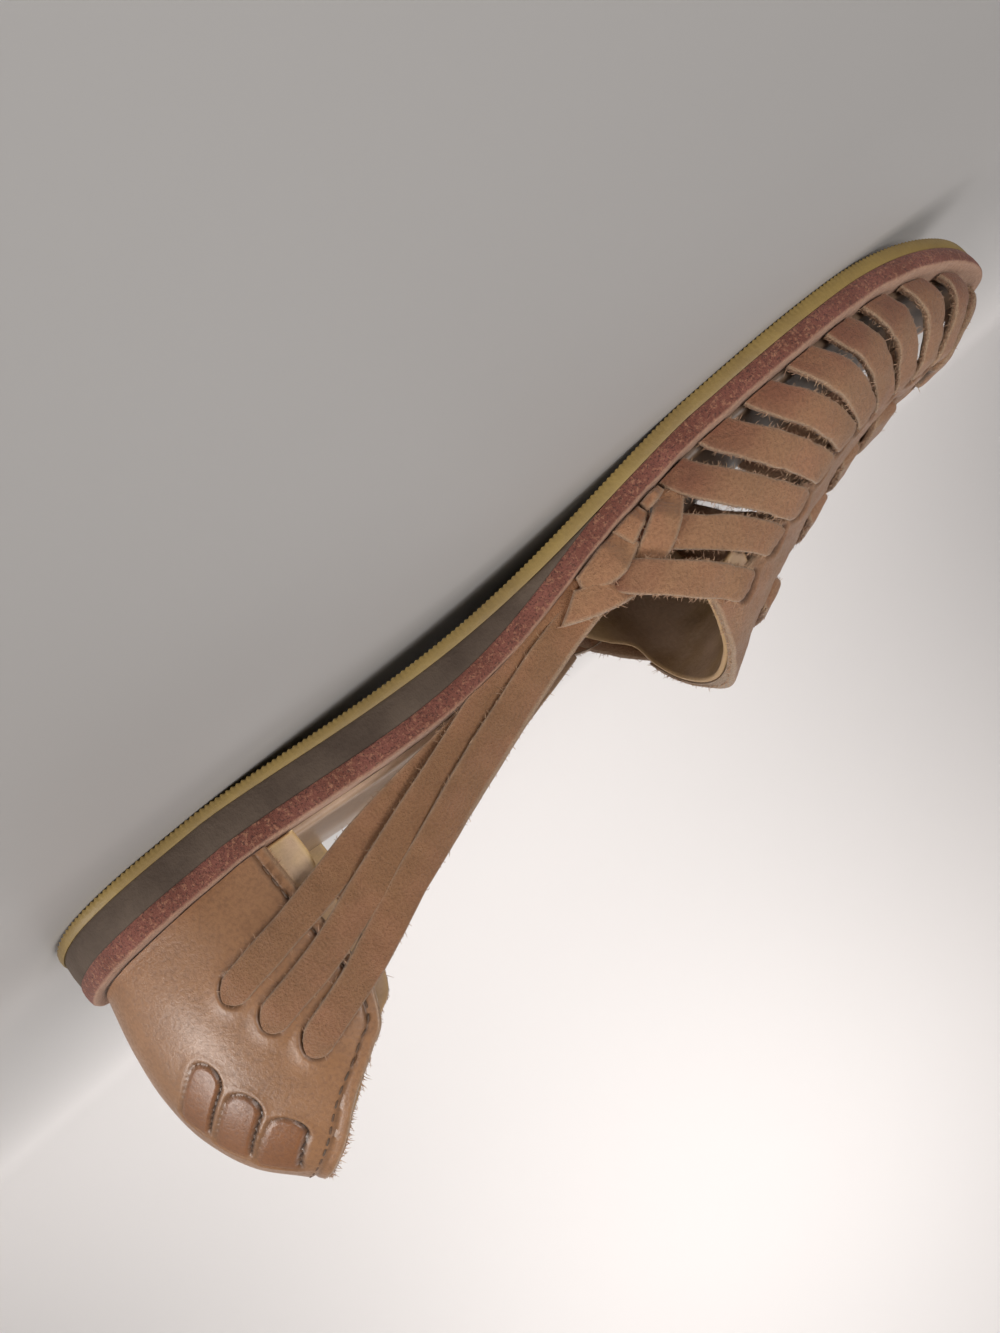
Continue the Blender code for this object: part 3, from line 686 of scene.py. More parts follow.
def leather(name, colour, blush, raw, roughness, grain, depth, pits, fold=0.0, sheen=0.15, coat=0.0):
    """Leather: mottled colour with warmer patches, a pebbled grain, raw edges and painted shade in slits.

    The grain is noise of two sizes, whose hollows are as dark as pits says. The creases are noise
    stretched across the strip, by its own along and across. The mesh's raw tone turns the colour to that
    of the cut fibres, its slit tone to painted shade in a slit, its foot shade tone to painted shade at
    a strip's foot, and its tab tone to a darker leather.
    """
    material, tree, shader, place = start_material(name, roughness, sheen, coat)
    cloud = noise(tree, place, 0.022, 2.0)
    patch = noise(tree, place, 0.009, 3.0)
    pebble = noise(tree, place, grain, 4.0, 0.6)
    thread = noise(tree, place, grain * 0.35, 2.0, 0.7)
    body = mix(tree, ramp(tree, patch, 0.42, 0.68, 0.0, 0.75), colour4(colour), colour4(blush))
    body = mix(tree, ramp(tree, cloud, 0.35, 0.70, 0.0, 0.45), body, (0.62, 0.60, 0.58, 1.0), 'MULTIPLY')
    body = mix(tree, ramp(tree, pebble, 0.32, 0.58, pits, 0.0), body, (0.36, 0.29, 0.25, 1.0), 'MULTIPLY')
    # Painted shade: patchy, darker leather towards a strip's foot
    stain = maths(tree, 'MULTIPLY', tone(tree, "stain"), ramp(tree, patch, 0.30, 0.60, 0.5, 1.0))
    body = mix(tree, stain, body, (0.62, 0.45, 0.42, 1.0), 'MULTIPLY')
    body = mix(tree, tone(tree, "tab"), body, (0.80, 0.66, 0.56, 1.0), 'MULTIPLY')
    fibre = mix(tree, ramp(tree, thread, 0.35, 0.65), colour4([value * 0.45 for value in raw]), colour4(raw))
    edge = maths(tree, 'MULTIPLY', tone(tree, "raw"), ramp(tree, pebble, 0.25, 0.55, 0.65, 1.0))
    body = mix(tree, edge, body, fibre)
    # Painted shade: the slit tone darkens the leather to near black in a slit
    slit = maths(tree, 'MULTIPLY', tone(tree, "slit"), ramp(tree, thread, 0.2, 0.5, 0.85, 1.0))
    body = mix(tree, slit, body, (0.020, 0.010, 0.006, 1.0))
    tree.links.new(body, shader.inputs["Base Color"])
    shine = ramp(tree, pebble, 0.3, 0.7, roughness + 0.10, roughness - 0.08)
    tree.links.new(shine, shader.inputs["Roughness"])
    along = maths(tree, 'MULTIPLY', tone(tree, "along"), 900.0)
    across = maths(tree, 'MULTIPLY', tone(tree, "across"), 0.9)
    folds = add_node(tree, "ShaderNodeCombineXYZ", {0: along, 1: across}).outputs[0]
    relief = bump(tree, noise(tree, folds, 1.0, 3.0, 0.5), fold)
    relief = bump(tree, pebble, depth, relief)
    relief = bump(tree, thread, depth * 0.35, relief)
    tree.links.new(relief, shader.inputs["Normal"])
    return material


def board(name, colour, speckle, lip):
    """Cut edge of pressed leather board: a dark body full of pale and dark crumbs, paler at its lip."""
    material, tree, shader, place = start_material(name, 0.85, 0.1)
    coarse = noise(tree, place, 0.0009, 3.0, 0.65)
    fine = noise(tree, place, 0.0004, 2.0, 0.7)
    drift = noise(tree, place, 0.014, 2.0)
    body = mix(tree, ramp(tree, drift, 0.35, 0.7, 0.0, 0.5), colour4(colour), (0.30, 0.105, 0.080, 1.0))
    body = mix(tree, ramp(tree, coarse, 0.52, 0.66, 0.0, 0.75), body, colour4(speckle))
    body = mix(tree, ramp(tree, fine, 0.34, 0.50, 0.9, 0.0), body, (0.060, 0.018, 0.014, 1.0))
    # The lip is paler partly from wear and partly as a painted highlight along the top edge.
    share = maths(tree, 'MULTIPLY', tone(tree, "lip"), ramp(tree, coarse, 0.25, 0.6, 0.55, 1.0))
    body = mix(tree, share, body, colour4(lip))
    tree.links.new(body, shader.inputs["Base Color"])
    relief = bump(tree, coarse, 0.00035)
    relief = bump(tree, fine, 0.00015, relief)
    tree.links.new(relief, shader.inputs["Normal"])
    return material


def plain(name, colour, second, size, roughness, depth, coat=0.0, worn=None):
    """A moulded or lining material: two close colours in soft clouds, and a fine tooth.

    A darker colour takes over towards the toe: partly wear, partly painted shade under the vamp.
    """
    material, tree, shader, place = start_material(name, roughness, coat=coat)
    cloud = noise(tree, place, size, 3.0)
    tooth = noise(tree, place, size * 0.06, 3.0, 0.65)
    body = mix(tree, ramp(tree, cloud, 0.35, 0.65), colour4(colour), colour4(second))
    body = mix(tree, ramp(tree, tooth, 0.3, 0.6, 0.25, 0.0), body, (0.55, 0.52, 0.50, 1.0), 'MULTIPLY')
    body = mix(tree, tone(tree, "raw"), body, colour4([value * 1.25 for value in colour]))
    if worn is not None:
        # Partly wear, partly painted shade: darker from about the throat on, under the closed vamp
        forward = add_node(tree, "ShaderNodeSeparateXYZ", {0: place}).outputs["X"]
        body = mix(tree, ramp(tree, forward, 0.055, 0.100), body, colour4(worn))
    tree.links.new(body, shader.inputs["Base Color"])
    shine = ramp(tree, cloud, 0.3, 0.7, roughness + 0.06, roughness - 0.06)
    tree.links.new(shine, shader.inputs["Roughness"])
    tree.links.new(bump(tree, tooth, depth), shader.inputs["Normal"])
    return material


MATERIALS = {}


def finish(name):
    """The material of a name, made from the panel's colours when it is first needed."""
    if name in MATERIALS:
        return MATERIALS[name]
    tints = bpy.context.scene.sandal_colours
    raw = tints.raw_edge
    makers = {
        "vamp": lambda: leather("vamp_leather", tints.vamp, tints.blush, raw, 0.58,
                                0.0007, 0.00046, 0.42, fold=0.00012, sheen=0.2),
        "strap": lambda: leather("strap_leather", tints.strap, tints.blush, raw, 0.60,
                                 0.0005, 0.00040, 0.38, sheen=0.2),
        "counter": lambda: leather("counter_leather", tints.counter, tints.counter_light, raw, 0.36,
                                   0.0008, 0.00010, 0.40, sheen=0.05, coat=0.2),
        "tongue": lambda: plain("lining_tongue", tints.tongue, tints.insole, 0.012, 0.55, 0.0001),
        "lining": lambda: plain("cream_lining", tints.lining, tints.insole, 0.020, 0.55, 0.0001),
        "insole": lambda: plain("insole_leather", tints.insole, tints.insole_shade, 0.030, 0.42, 0.00008,
                                coat=0.1, worn=tints.insole_toe_wear_and_shade),
        "wedge": lambda: plain("wedge_foam", tints.wedge, tints.wedge_light, 0.016, 0.80, 0.00022),
        "rubber": lambda: plain("ochre_rubber", tints.rubber, tints.rubber_shade, 0.025, 0.55, 0.00014),
        "board": lambda: board("leather_board", tints.board, tints.speckle, tints.lip),
        "thread": lambda: plain("thread", tints.thread, tints.wedge_light, 0.002, 0.70, 0.00005),
        "fibre": lambda: plain("raw_fibres", tints.raw_edge, tints.lip, 0.004, 0.80, 0.00002),
    }
    MATERIALS[name] = makers[name]()
    return MATERIALS[name]


def layer_part(low, high, wall, count, across, end=1.0, teeth=None):
    """A layer of the sole: rings round it at stations from heel to toe.

    Each ring goes across the bottom, up the medial wall, back across the top and down the lateral wall.
    The wall table gives its inset at shares of the height. The lip tone is 1 at the top of the wall.
    """
    edges = [outline_edges(inset, count) for _, inset in wall]
    keep = edges[0][0][:, 0] <= end * SOLE_LENGTH
    medial = np.stack([edge[0][keep] for edge in edges], axis=1)
    lateral = np.stack([edge[1][keep] for edge in edges], axis=1)
    share = np.array([row[0] for row in wall])
    over = np.linspace(0.0, 1.0, across)[None, 1:-1, None]
    bottom = lateral[:, :1] + (medial[:, :1] - lateral[:, :1]) * over
    top = medial[:, -1:] + (lateral[:, -1:] - medial[:, -1:]) * over
    plan = np.concatenate([lateral[:, :1], bottom, medial, top, lateral[:, :0:-1]], axis=1)
    levels = np.concatenate([[0.0], np.zeros(across - 2), share, np.ones(across - 2), share[:0:-1]])
    base, roof = low(plan[..., 0]), high(plan[..., 0])
    if teeth is not None:
        base = base + teeth(plan[..., 0])
    height = base + (roof - base) * levels
    rings = np.concatenate([plan, height[..., None]], axis=-1)
    lip = np.broadcast_to(ease(levels, 0.84, 1.0), height.shape)
    return rings, lip


def ribbon(surface, first, second, half, low, high, lengthwise=False, seed=0, roll=0.0):
    """Rings of a strip of leather on a surface of two parameters.

    Two arrays of parameters give its centre line. Each ring is the section table, spread over the
    half-width along the first parameter, or the second one for a lengthwise strip, and over the height
    between low and high. The half-width wavers a little, as hand-cut leather does, and the roll is the
    slope across the strip.
    """
    section = np.array(SECTION)
    path = surface(first, second)
    forward = unit(np.gradient(path, axis=0))
    small = 0.0005
    turned = np.array([0.0, 1.0]) if lengthwise else np.array([1.0, 0.0])
    ahead = surface(first + small * turned[0], second + small * turned[1])
    behind = surface(first - small * turned[0], second - small * turned[1])
    spread = np.linalg.norm(np.cross((ahead - behind) / (2.0 * small), forward), axis=1)
    draw = np.random.default_rng(seed)
    knots = np.linspace(0.0, 1.0, 14)
    run = np.linspace(0.0, 1.0, len(first))
    left = 1.0 + 0.035 * np.interp(run, knots, draw.normal(size=14))
    right = 1.0 + 0.035 * np.interp(run, knots, draw.normal(size=14))
    reach = section[:, 0] * np.where(section[:, 0] < 0.0, left[:, None], right[:, None])
    reach = (half / spread)[:, None] * reach
    grid_first = first[:, None] + reach * turned[0]
    grid_second = second[:, None] + reach * turned[1]
    if surface is vamp_point:
        grid_second = np.clip(grid_second, -1.0, 1.0)
    points = surface(grid_first, grid_second)
    out = normals(surface, grid_first, grid_second)
    lift = low[:, None] + (high - low)[:, None] * section[:, 1]
    lift = lift + (roll * half)[:, None] * section[:, 0]
    lift = lift + 0.00012 * ripples(points, 0.006, seed + 1)
    rings = points + out * lift[..., None]
    rings[..., 2] = np.maximum(rings[..., 2], footbed(rings[..., 0]) + OFF_BOARD)
    return rings


def round_end(away, radius, length):
    """Half-width near a round end: a quarter of an ellipse over a length from the tip."""
    reach = np.clip(1.0 - away / length, 0.0, 1.0)
    return radius * np.sqrt(np.maximum(1.0 - reach ** 2, 0.0004))


def strip_tones(away, seed):
    """Tones of a strip: raw at its cut edges, painted shade of its slit at its tip, painted shade at its
    foot, and where a place is.

    Along is the distance from the tip and across the share of the width, for the creases.
    """
    section = np.array(SECTION)
    level = np.ones((len(away), len(section)))
    away = away[:, None]
    return {
        "raw": section[:, 2] * level,
        # painted shade where the tip dives into its slit
        "slit": 0.8 * (1.0 - ease(away, 0.0, 0.0009)) * level,
        # painted shade, darker towards the strip's foot
        "stain": (1.0 - ease(away[0] - away, 0.001, 0.014)) * level,
        "along": (away + 0.1 * seed) * level,
        "across": section[:, 0] * level,
    }


def strip_course(number, side):
    """Share, down and distance from the tip along a strip, from its foot to its slit."""
    foot, slit, depth, reach, bow = STRIPS[number]
    shift = LATERAL_SHIFT * (side < 0.0)
    narrow = LATERAL_NARROWING if side < 0.0 else 1.0
    foot = foot + shift * (1.0 - foot)
    run = 1.0 - (1.0 - np.linspace(0.0, 1.0, 84)) ** 1.25
    down = side * (reach + (depth * narrow - reach) * run)
    share = foot + (slit - foot) * run + bow * np.sin(np.pi * run)
    return share, down, distance_along(vamp_point(share, down)[::-1])[::-1]


def strip_part(number, side, width):
    """One strip from its foot up over the panel's edge, with a round tip that dives into its slit."""
    share, down, away = strip_course(number, side)
    half = round_end(away, width / 2.0, STRIP_TIP)
    seed = 10 * number + (side < 0.0)
    draw = np.random.default_rng(seed + 5000)
    arch = np.sin(np.pi * np.clip(away / away[0], 0.0, 1.0))
    bulge = draw.uniform(0.0002, 0.0008) * arch
    low, high = smooth(away, STRIP_LIFT, 1) + bulge, smooth(away, STRIP_LIFT, 2) + bulge
    if number == 0:
        level = ease(away, 0.004, 0.013) * (1.0 - ease(away, away[0] - 0.004, away[0]))
        low, high = low + (0.0015 - low) * level, high + (0.0032 - high) * level
    roll = -draw.uniform(0.02, 0.07) * arch
    rings = ribbon(vamp_point, share, down, half, low, high, seed=seed, roll=roll)
    return rings, tube_part(rings, **strip_tones(away, number + 1))


def slit_path(number, side, width):
    """Points of the slit round a strip's tip, on the panel: an arc that hugs the tip."""
    slit, depth = STRIPS[number][1:3]
    narrow = LATERAL_NARROWING if side < 0.0 else 1.0
    across = np.linspace(-1.0, 1.0, 11)
    share = slit + across * (width / 2.0 + SLIT_GAP) / stretch(slit, side * depth * narrow, 0.002, 0.0)
    down = side * (depth * narrow - 0.024 + 0.050 * across ** 2)
    return vamp_point(share, down) + normals(vamp_point, share, down) * LEATHER


def stretch(share, down, more_share, more_down):
    """Metres on the vamp for each unit of share, or of down, from a place to one beside it."""
    places = vamp_point(share + np.array([0.0, more_share]), down + np.array([0.0, more_down]))
    return np.linalg.norm(places[1] - places[0]) / (more_share + more_down)


def crossing_part(number, width):
    """One raised crossing: a short strip over the ridge, with both round ends let into slits."""
    place, reach = CROSSINGS[number]
    run = np.sin(np.linspace(-np.pi / 2.0, np.pi / 2.0, 61))
    down = run * reach / stretch(place, -0.02, 0.0, 0.04)
    share = np.full(61, place)
    away = reach * (1.0 - np.abs(run))
    half = round_end(away, width / 2.0, CROSSING_TIP)
    high = LEATHER + 0.0016 * ease(away, 0.0, 0.0032) + 0.0008 * ease(away, 0.002, reach)
    high = high - 0.0012 * (1.0 - ease(away, 0.0, 0.0012))
    low = high - 0.0016
    rings = ribbon(vamp_point, share, down, half, low, high, seed=400 + number)
    # The slit tone paints shade at both ends, where they dive into their slits.
    tones = strip_tones(away, 20 + number)
    tones["stain"] = 0.0
    return rings, tube_part(rings, **tones)


def crossing_slits(number, width):
    """The two slits at the ends of a raised crossing."""
    place, reach = CROSSINGS[number]
    across = np.linspace(-1.0, 1.0, 11)
    share = place + across * (width / 2.0 + SLIT_GAP) / stretch(place, 0.0, 0.002, 0.0)
    down = (reach + SLIT_GAP - 0.0022 * across ** 2) / stretch(place, -0.02, 0.0, 0.04)
    return [vamp_point(share, side * down) + normals(vamp_point, share, side * down) * LEATHER
            for side in (1.0, -1.0)]


def panel_grid(rows, columns):
    """Shares and downs of the centre panel's grid, with its rows closer together at its edges."""
    line = (1.0 - np.cos(np.linspace(0.0, np.pi, rows))) / 2.0
    line = 0.75 * np.linspace(0.0, 1.0, rows) + 0.25 * line
    share = PANEL_EDGE[0][0] + (PANEL_EDGE[-1][0] - PANEL_EDGE[0][0]) * line
    across = np.linspace(-1.0, 1.0, columns)
    across = 0.8 * across + 0.2 * np.sin(across * np.pi / 2.0)
    edge = smooth(share, PANEL_EDGE, 1)
    reach = np.where(across < 0.0, LATERAL_NARROWING, 1.0) * across
    return np.repeat(share[:, None], columns, axis=1), edge[:, None] * reach


def border_distance(points):
    """Distance from each point of a grid to the grid's border, in metres."""
    border = np.concatenate([points[0], points[1:, -1], points[-1, -2::-1], points[-2::-1, 0]])
    thin = border[::4]
    thin = np.concatenate([thin, thin[:1]])
    return distance_to_path(points, thin)[0]


def rounding(away, radius):
    """How far a sheet's face lies in at its border: a quarter circle of a radius."""
    reach = np.clip(1.0 - away / radius, 0.0, 1.0)
    return radius * (1.0 - np.sqrt(np.maximum(1.0 - reach ** 2, 0.0)))


def panel_part(width):
    """The vamp's centre panel, after the points of its middle layer, where the fibres take root.

    Its edge thins out under the strips, and the slits are cut into it, with painted shade along them.
    """
    share, down = panel_grid(230, 150)
    base = vamp_point(share, down)
    out = normals(vamp_point, share, down)
    surface = base + out * LEATHER
    edge = border_distance(surface)
    groove = np.zeros(share.shape)
    swell = np.zeros(share.shape)
    paths = [slit_path(number, side, width) for side in (1.0, -1.0) for number in range(len(STRIPS))]
    for number in range(len(CROSSINGS)):
        paths += crossing_slits(number, width)
    for path in paths:
        away, place = distance_to_path(surface, path)
        fade = ease(place, 0.0, 0.10) * (1.0 - ease(place, 0.90, 1.0))
        groove = np.maximum(groove, np.exp(-(away / SLIT_WIDTH) ** 2) * fade)
        swell = np.maximum(swell, np.exp(-(away / 0.0022) ** 2) * fade)
    side_edge = np.abs(down) / np.maximum(smooth(share, PANEL_EDGE, 1), 1e-6)
    side_edge = np.where(down < 0.0, side_edge / LATERAL_NARROWING, side_edge)
    thin = ease(side_edge, 0.86, 1.0) * 0.0006
    peak = np.exp(-(down / 0.14) ** 2) * (1.0 - ease(share, PANEL_EDGE[0][0], 0.40))
    outer = LEATHER - thin + SLIT_SWELL * swell - SLIT_DEPTH * groove + 0.00018 * ripples(base, 0.009, 5)
    outer = outer + THROAT_PEAK * peak - rounding(edge, 0.0006)
    raw = np.maximum(1.0 - edge / 0.0009, 0.0)
    face = base + out * outer[..., None]
    # The slit tone paints shade along the slits' grooves.
    return base + out * (0.6 * outer)[..., None], grid_part(base + out * 0.0002, face, raw=raw, slit=groove)


def lining_part():
    """Lining of the throat: one sheet, under the panel's rear edge and on down behind the lateral strips.

    Its rear edge eases from the panel's to the first strip's, and it sinks from the one to the other. It
    is rounded and raw at its border.
    """
    down = np.linspace(-1.0, 0.66, 190)
    low_side = -down
    course, reach, _ = strip_course(0, -1.0)
    middle = np.interp(low_side, -reach[::-1], course[::-1])
    step = np.linalg.norm(vamp_point(middle + 0.001, down) - vamp_point(middle, down), axis=1) / 0.001
    panel = PANEL_EDGE[0][0] + 0.001
    rear = panel + (middle - 0.0034 / step - panel) * ease(low_side, 0.60, 0.82)
    front = 0.36 + 0.092 * ease(low_side, -0.2, 0.2)
    share = rear + (front - rear) * np.linspace(0.0, 1.0, 60)[:, None]
    behind = ease(low_side, 0.48, 0.80)
    down = down * np.ones((60, 1))
    base = vamp_point(share, down)
    out = normals(vamp_point, share, down)
    edge = border_distance(base)
    wander = 0.00010 * ripples(base, 0.012, 41)
    outer = 0.0001 - 0.0019 * behind + wander - 0.8 * rounding(edge, 0.0004)
    inner = -0.0012 - 0.0014 * behind + wander + 0.8 * rounding(edge, 0.0004)
    raw = np.maximum(1.0 - edge / RAW_EDGE, 0.0)
    return grid_part(base + out * inner[..., None], base + out * outer[..., None], raw=raw)


def weave_part(row, side, seed):
    """One piece of the woven corner: four corners on the vamp, filled in straight lines.

    Its upper edge bows up, its middle is crowned by the sine of both shares, and its rim is rounded.
    """
    rear_up, front_up, front_low, rear_low, bow, rear, middle, front = row
    run = np.linspace(0.0, 1.0, 44)[:, None]
    drop = np.linspace(0.0, 1.0, 30)[None, :]
    corners = [np.array(corner)[:, None, None] for corner in (rear_up, front_up, front_low, rear_low)]
    upper = corners[0] * (1.0 - run) + corners[1] * run
    lower = corners[3] * (1.0 - run) + corners[2] * run
    share, down = upper * (1.0 - drop) + lower * drop
    down = down - bow * np.sin(np.pi * run) * (1.0 - drop)
    share = share + LATERAL_SHIFT * (side < 0.0)
    down = side * np.minimum(down, 1.0)
    base = vamp_point(share, down)
    out = normals(vamp_point, share, down)
    top = rear + (middle - rear) * ease(run, 0.0, 0.40) + (front - middle) * ease(run, 0.58, 0.90)
    top = top + 0.0004 * np.sin(np.pi * run) ** 0.5 * np.sin(np.pi * drop) ** 0.7
    top = top + 0.00014 * ripples(base, 0.005, seed)
    edge = border_distance(base)
    outer = top - rounding(edge, 0.0007)
    inner = outer - 0.0015 + rounding(edge, 0.0007) * 0.5
    raw = np.maximum(1.0 - edge / 0.0008, 0.0)
    sheets = [base + out * inner[..., None], base + out * outer[..., None]]
    for sheet in sheets:
        sheet[..., 2] = np.maximum(sheet[..., 2], footbed(sheet[..., 0]) + OFF_BOARD)
    return sheets[1], grid_part(*sheets, raw=raw)


def strap_course(number, side):
    """Along, height and distance from the tip of a side strap, from its slit to its front end."""
    length = SOLE_LENGTH * (LATERAL_REACH if side < 0.0 else 1.0)
    table = [(share * length, height * COUNTER_HEIGHT) for share, height in STRAPS[number]]
    start, end = table[0][0], table[-1][0]
    run = np.linspace(0.0, 1.0, 130) ** 1.35
    along = start + (end - start) * run
    return along, smooth(along, table, 1), along - start


def strap_part(number, side, width):
    """One side strap: a round tip let into the counter, then a band that leans in towards the vamp."""
    along, height, away = strap_course(number, side)
    half = round_end(away, width / 2.0, 0.6 * width) * (0.84 + 0.16 * ease(away, 0.004, 0.050))
    tip, counter, waist, front = STRAP_LIFTS[number]
    low = tip + (counter - tip) * ease(away, 0.0, 0.0045)
    low = low + (waist - counter) * ease(along / COUNTER_LENGTH, 0.96, 1.40)
    low = low + (front - waist) * ease(along / along[-1], 0.84, 0.97)
    high = low + 0.0019
    roll = -0.42 * ease(along / SOLE_LENGTH, 0.20, 0.34) * (1.0 - ease(along / along[-1], 0.86, 0.97))
    rings = ribbon(side_point, along, height, half, low, high, lengthwise=True,
                   seed=600 + 10 * number + (side < 0.0), roll=roll)
    rings = on_side(rings, side)
    tones = strip_tones(away, 30 + number)
    tones["slit"] = 0.0
    tones["stain"] = 0.0
    tones["raw"][:, 10] = ease(away, 0.040, 0.055)
    tones["raw"][:, 11] = 0.45
    return rings, tube_part(rings, **tones)


def tab_field(around, height, side):
    """How far inside a tab each place is, and the depth and painted shade of the slit round the tabs there.

    A place becomes a share of the tab's length and of its half-width by solving the two straight lines
    that lay the tab out, and the distance is that to a box with a round front end.
    """
    inside = np.full(around.shape, 1e9)
    slit = np.zeros(around.shape)
    wide = TAB_WIDTH / 2.0
    for front, front_up, back, back_up in TABS:
        along_step, up_step = back - front, back_up - front_up
        half = wide / COUNTER_HEIGHT
        away, up = side * around - front, height / COUNTER_HEIGHT - front_up
        solved = along_step * half - TAB_SLANT * up_step
        run = (away * half - TAB_SLANT * up) / solved
        across = (along_step * up - up_step * away) / solved
        length = abs(along_step) * CUP_LENGTH
        x, y = (run - 0.5) * length, across * wide
        radius = np.where(x < 0.0, 0.96 * wide, 0.0012)
        box_x, box_y = np.abs(x) - length / 2.0 + radius, np.abs(y) - wide + radius
        outside = np.hypot(np.maximum(box_x, 0.0), np.maximum(box_y, 0.0))
        signed = outside + np.minimum(np.maximum(box_x, box_y), 0.0) - radius
        # The slit and its painted shade are strongest round the front end and along one long side, and fade
        # at the back end.
        strong = 0.35 + 0.65 * np.maximum(ease(across, -0.3, 0.7), 0.5 * (1.0 - ease(run, 0.0, 0.25)))
        strong = strong * (1.0 - 0.85 * ease(run, 0.84, 0.98))
        slit = np.maximum(slit, np.exp(-(signed / 0.00034) ** 2) * strong)
        inside = np.minimum(inside, signed)
    return -inside, slit


def counter_surface(rows, columns):
    """Grid of the counter: around, points, outward normals and distance to its free edges."""
    around, up = np.meshgrid(np.linspace(-1.0, 1.0, rows), np.linspace(0.0, 1.0, columns), indexing="ij")
    points = cup_point(around, up)
    out = normals(cup_point, around, up)
    free = np.concatenate([points[0, ::3], points[::3, -1], points[-1, ::-3]])
    return around, points, out, distance_to_path(points, free)[0]


def counter_relief(around, points, edge, straps):
    """Height of the counter's face off its surface, with tones for its raw edge, tabs and painted slit
    shade.
    """
    height = points[..., 2]
    groove = np.zeros(around.shape)
    lift = np.zeros(around.shape)
    for rings in straps:
        outline = np.concatenate([rings[60::-2, 1], rings[0:61:2, 13]])
        away, place = distance_to_path(points, outline)
        same = np.where(outline[0, 1] * points[..., 1] > 0.0, 1.0, 0.0)
        near_tip = ease(0.5 - np.abs(place - 0.5), 0.10, 0.30)
        groove = np.maximum(groove, np.exp(-(away / 0.00050) ** 2) * (0.35 + 0.65 * near_tip) * same)
        lift = np.maximum(lift, 0.0005 * np.exp(-(away / 0.0022) ** 2) * same)
    tab = np.zeros(around.shape)
    for side in (1.0, -1.0):
        within, slit = tab_field(around, height, side)
        groove = np.maximum(groove, slit)
        tab = np.maximum(tab, ease(within, 0.0, 0.0006))
        lift = lift + 0.00012 * ease(within, 0.0, 0.0010)
        lift = lift + 0.00022 * np.exp(-(within / 0.0014) ** 2) * (within < 0.0)
    seam = np.exp(-((edge - SEAM_INSET) / 0.00040) ** 2)
    face = lift - 0.0008 * groove - 0.00025 * seam
    face = face - 0.00025 * (edge < SEAM_INSET) * ease(edge, 0.0, SEAM_INSET)
    face = face + 0.00016 * ripples(points, 0.018, 21) - rounding(edge, 0.0006)
    raw = np.maximum(1.0 - edge / 0.0009, 0.0) * 0.9
    # The slit tone is painted shade: in the slits round the strap ends and the tabs, and fainter along the
    # seam.
    return face, raw, np.maximum(groove, 0.35 * seam), tab


def tongue_part(side):
    """The end of the lining, which shows ahead of the counter's front edge: a sheet inside the waist."""
    along, share = np.meshgrid(np.linspace(0.046, 0.0548, 24), np.linspace(0.0, 1.0, 34), indexing="ij")
    base = footbed(along) + CLEARANCE
    height = base + (0.34 * COUNTER_HEIGHT - base) * share
    along = along - 0.0016 * share ** 4 * (along > 0.050)
    points = side_point(along, height)
    out = normals(side_point, along, height)
    edge = border_distance(points)
    sheets = [points + out * (level + turn * rounding(edge, 0.0004))[..., None]
              for level, turn in ((-0.0028, 1.0), (-0.0018, -1.0))]
    return grid_part(*[on_side(sheet, side) for sheet in sheets], raw=np.maximum(1.0 - edge / RAW_EDGE, 0.0))


def seam_path(inset):
    """Points of the counter's stitched seam, an inset in from its front and top edges."""
    turn = inset / CUP_LENGTH
    around = np.linspace(-1.0 + turn, 1.0 - turn, 160)
    base, top = cup_heights(around)
    edge = cup_point(around, np.ones(160))
    plan = np.linalg.norm(np.gradient(edge[:, :2], axis=0), axis=1)
    slope = np.hypot(1.0, np.gradient(edge[:, 2]) / np.maximum(plan, 1e-9))
    up = 1.0 - inset * np.minimum(slope, 2.2) / (top - base)
    rise = np.linspace(0.05, 1.0, 30)
    front = cup_point(np.full(30, around[0]), rise * up[0])
    last = cup_point(np.full(30, around[-1]), rise[::-1] * up[-1])
    out = [normals(cup_point, np.full(30, around[0]), rise * up[0]),
           normals(cup_point, around, up),
           normals(cup_point, np.full(30, around[-1]), rise[::-1] * up[-1])]
    return np.concatenate([front, cup_point(around, up), last]), np.concatenate(out)


def stitch_parts(path, out, length, gap, radius):
    """Stitches along a path: short tubes whose ends dip into the leather."""
    run = distance_along(path)
    count = int(run[-1] / (length + gap))
    parts = []
    turn = np.linspace(0.0, 2.0 * np.pi, 7)[:-1]
    along = np.linspace(-0.5, 0.5, 7)
    for number in range(count):
        place = (number + 0.5) * (length + gap) + along * length
        centre = np.stack([np.interp(place, run, path[:, axis]) for axis in range(3)], axis=1)
        up = unit(np.stack([np.interp(place, run, out[:, axis]) for axis in range(3)], axis=1))
        forward = unit(np.gradient(centre, axis=0))
        side = unit(np.cross(forward, up))
        thick = radius * np.sqrt(np.maximum(1.0 - (2.0 * along) ** 6, 0.08))
        dip = 0.00028 * np.abs(2.0 * along) ** 3
        centre = centre + up * (0.00008 - dip)[:, None]
        rings = centre[:, None] + thick[:, None, None] * (
            np.cos(turn)[None, :, None] * side[:, None] + np.sin(turn)[None, :, None] * up[:, None])
        parts.append(tube_part(rings))
    return parts


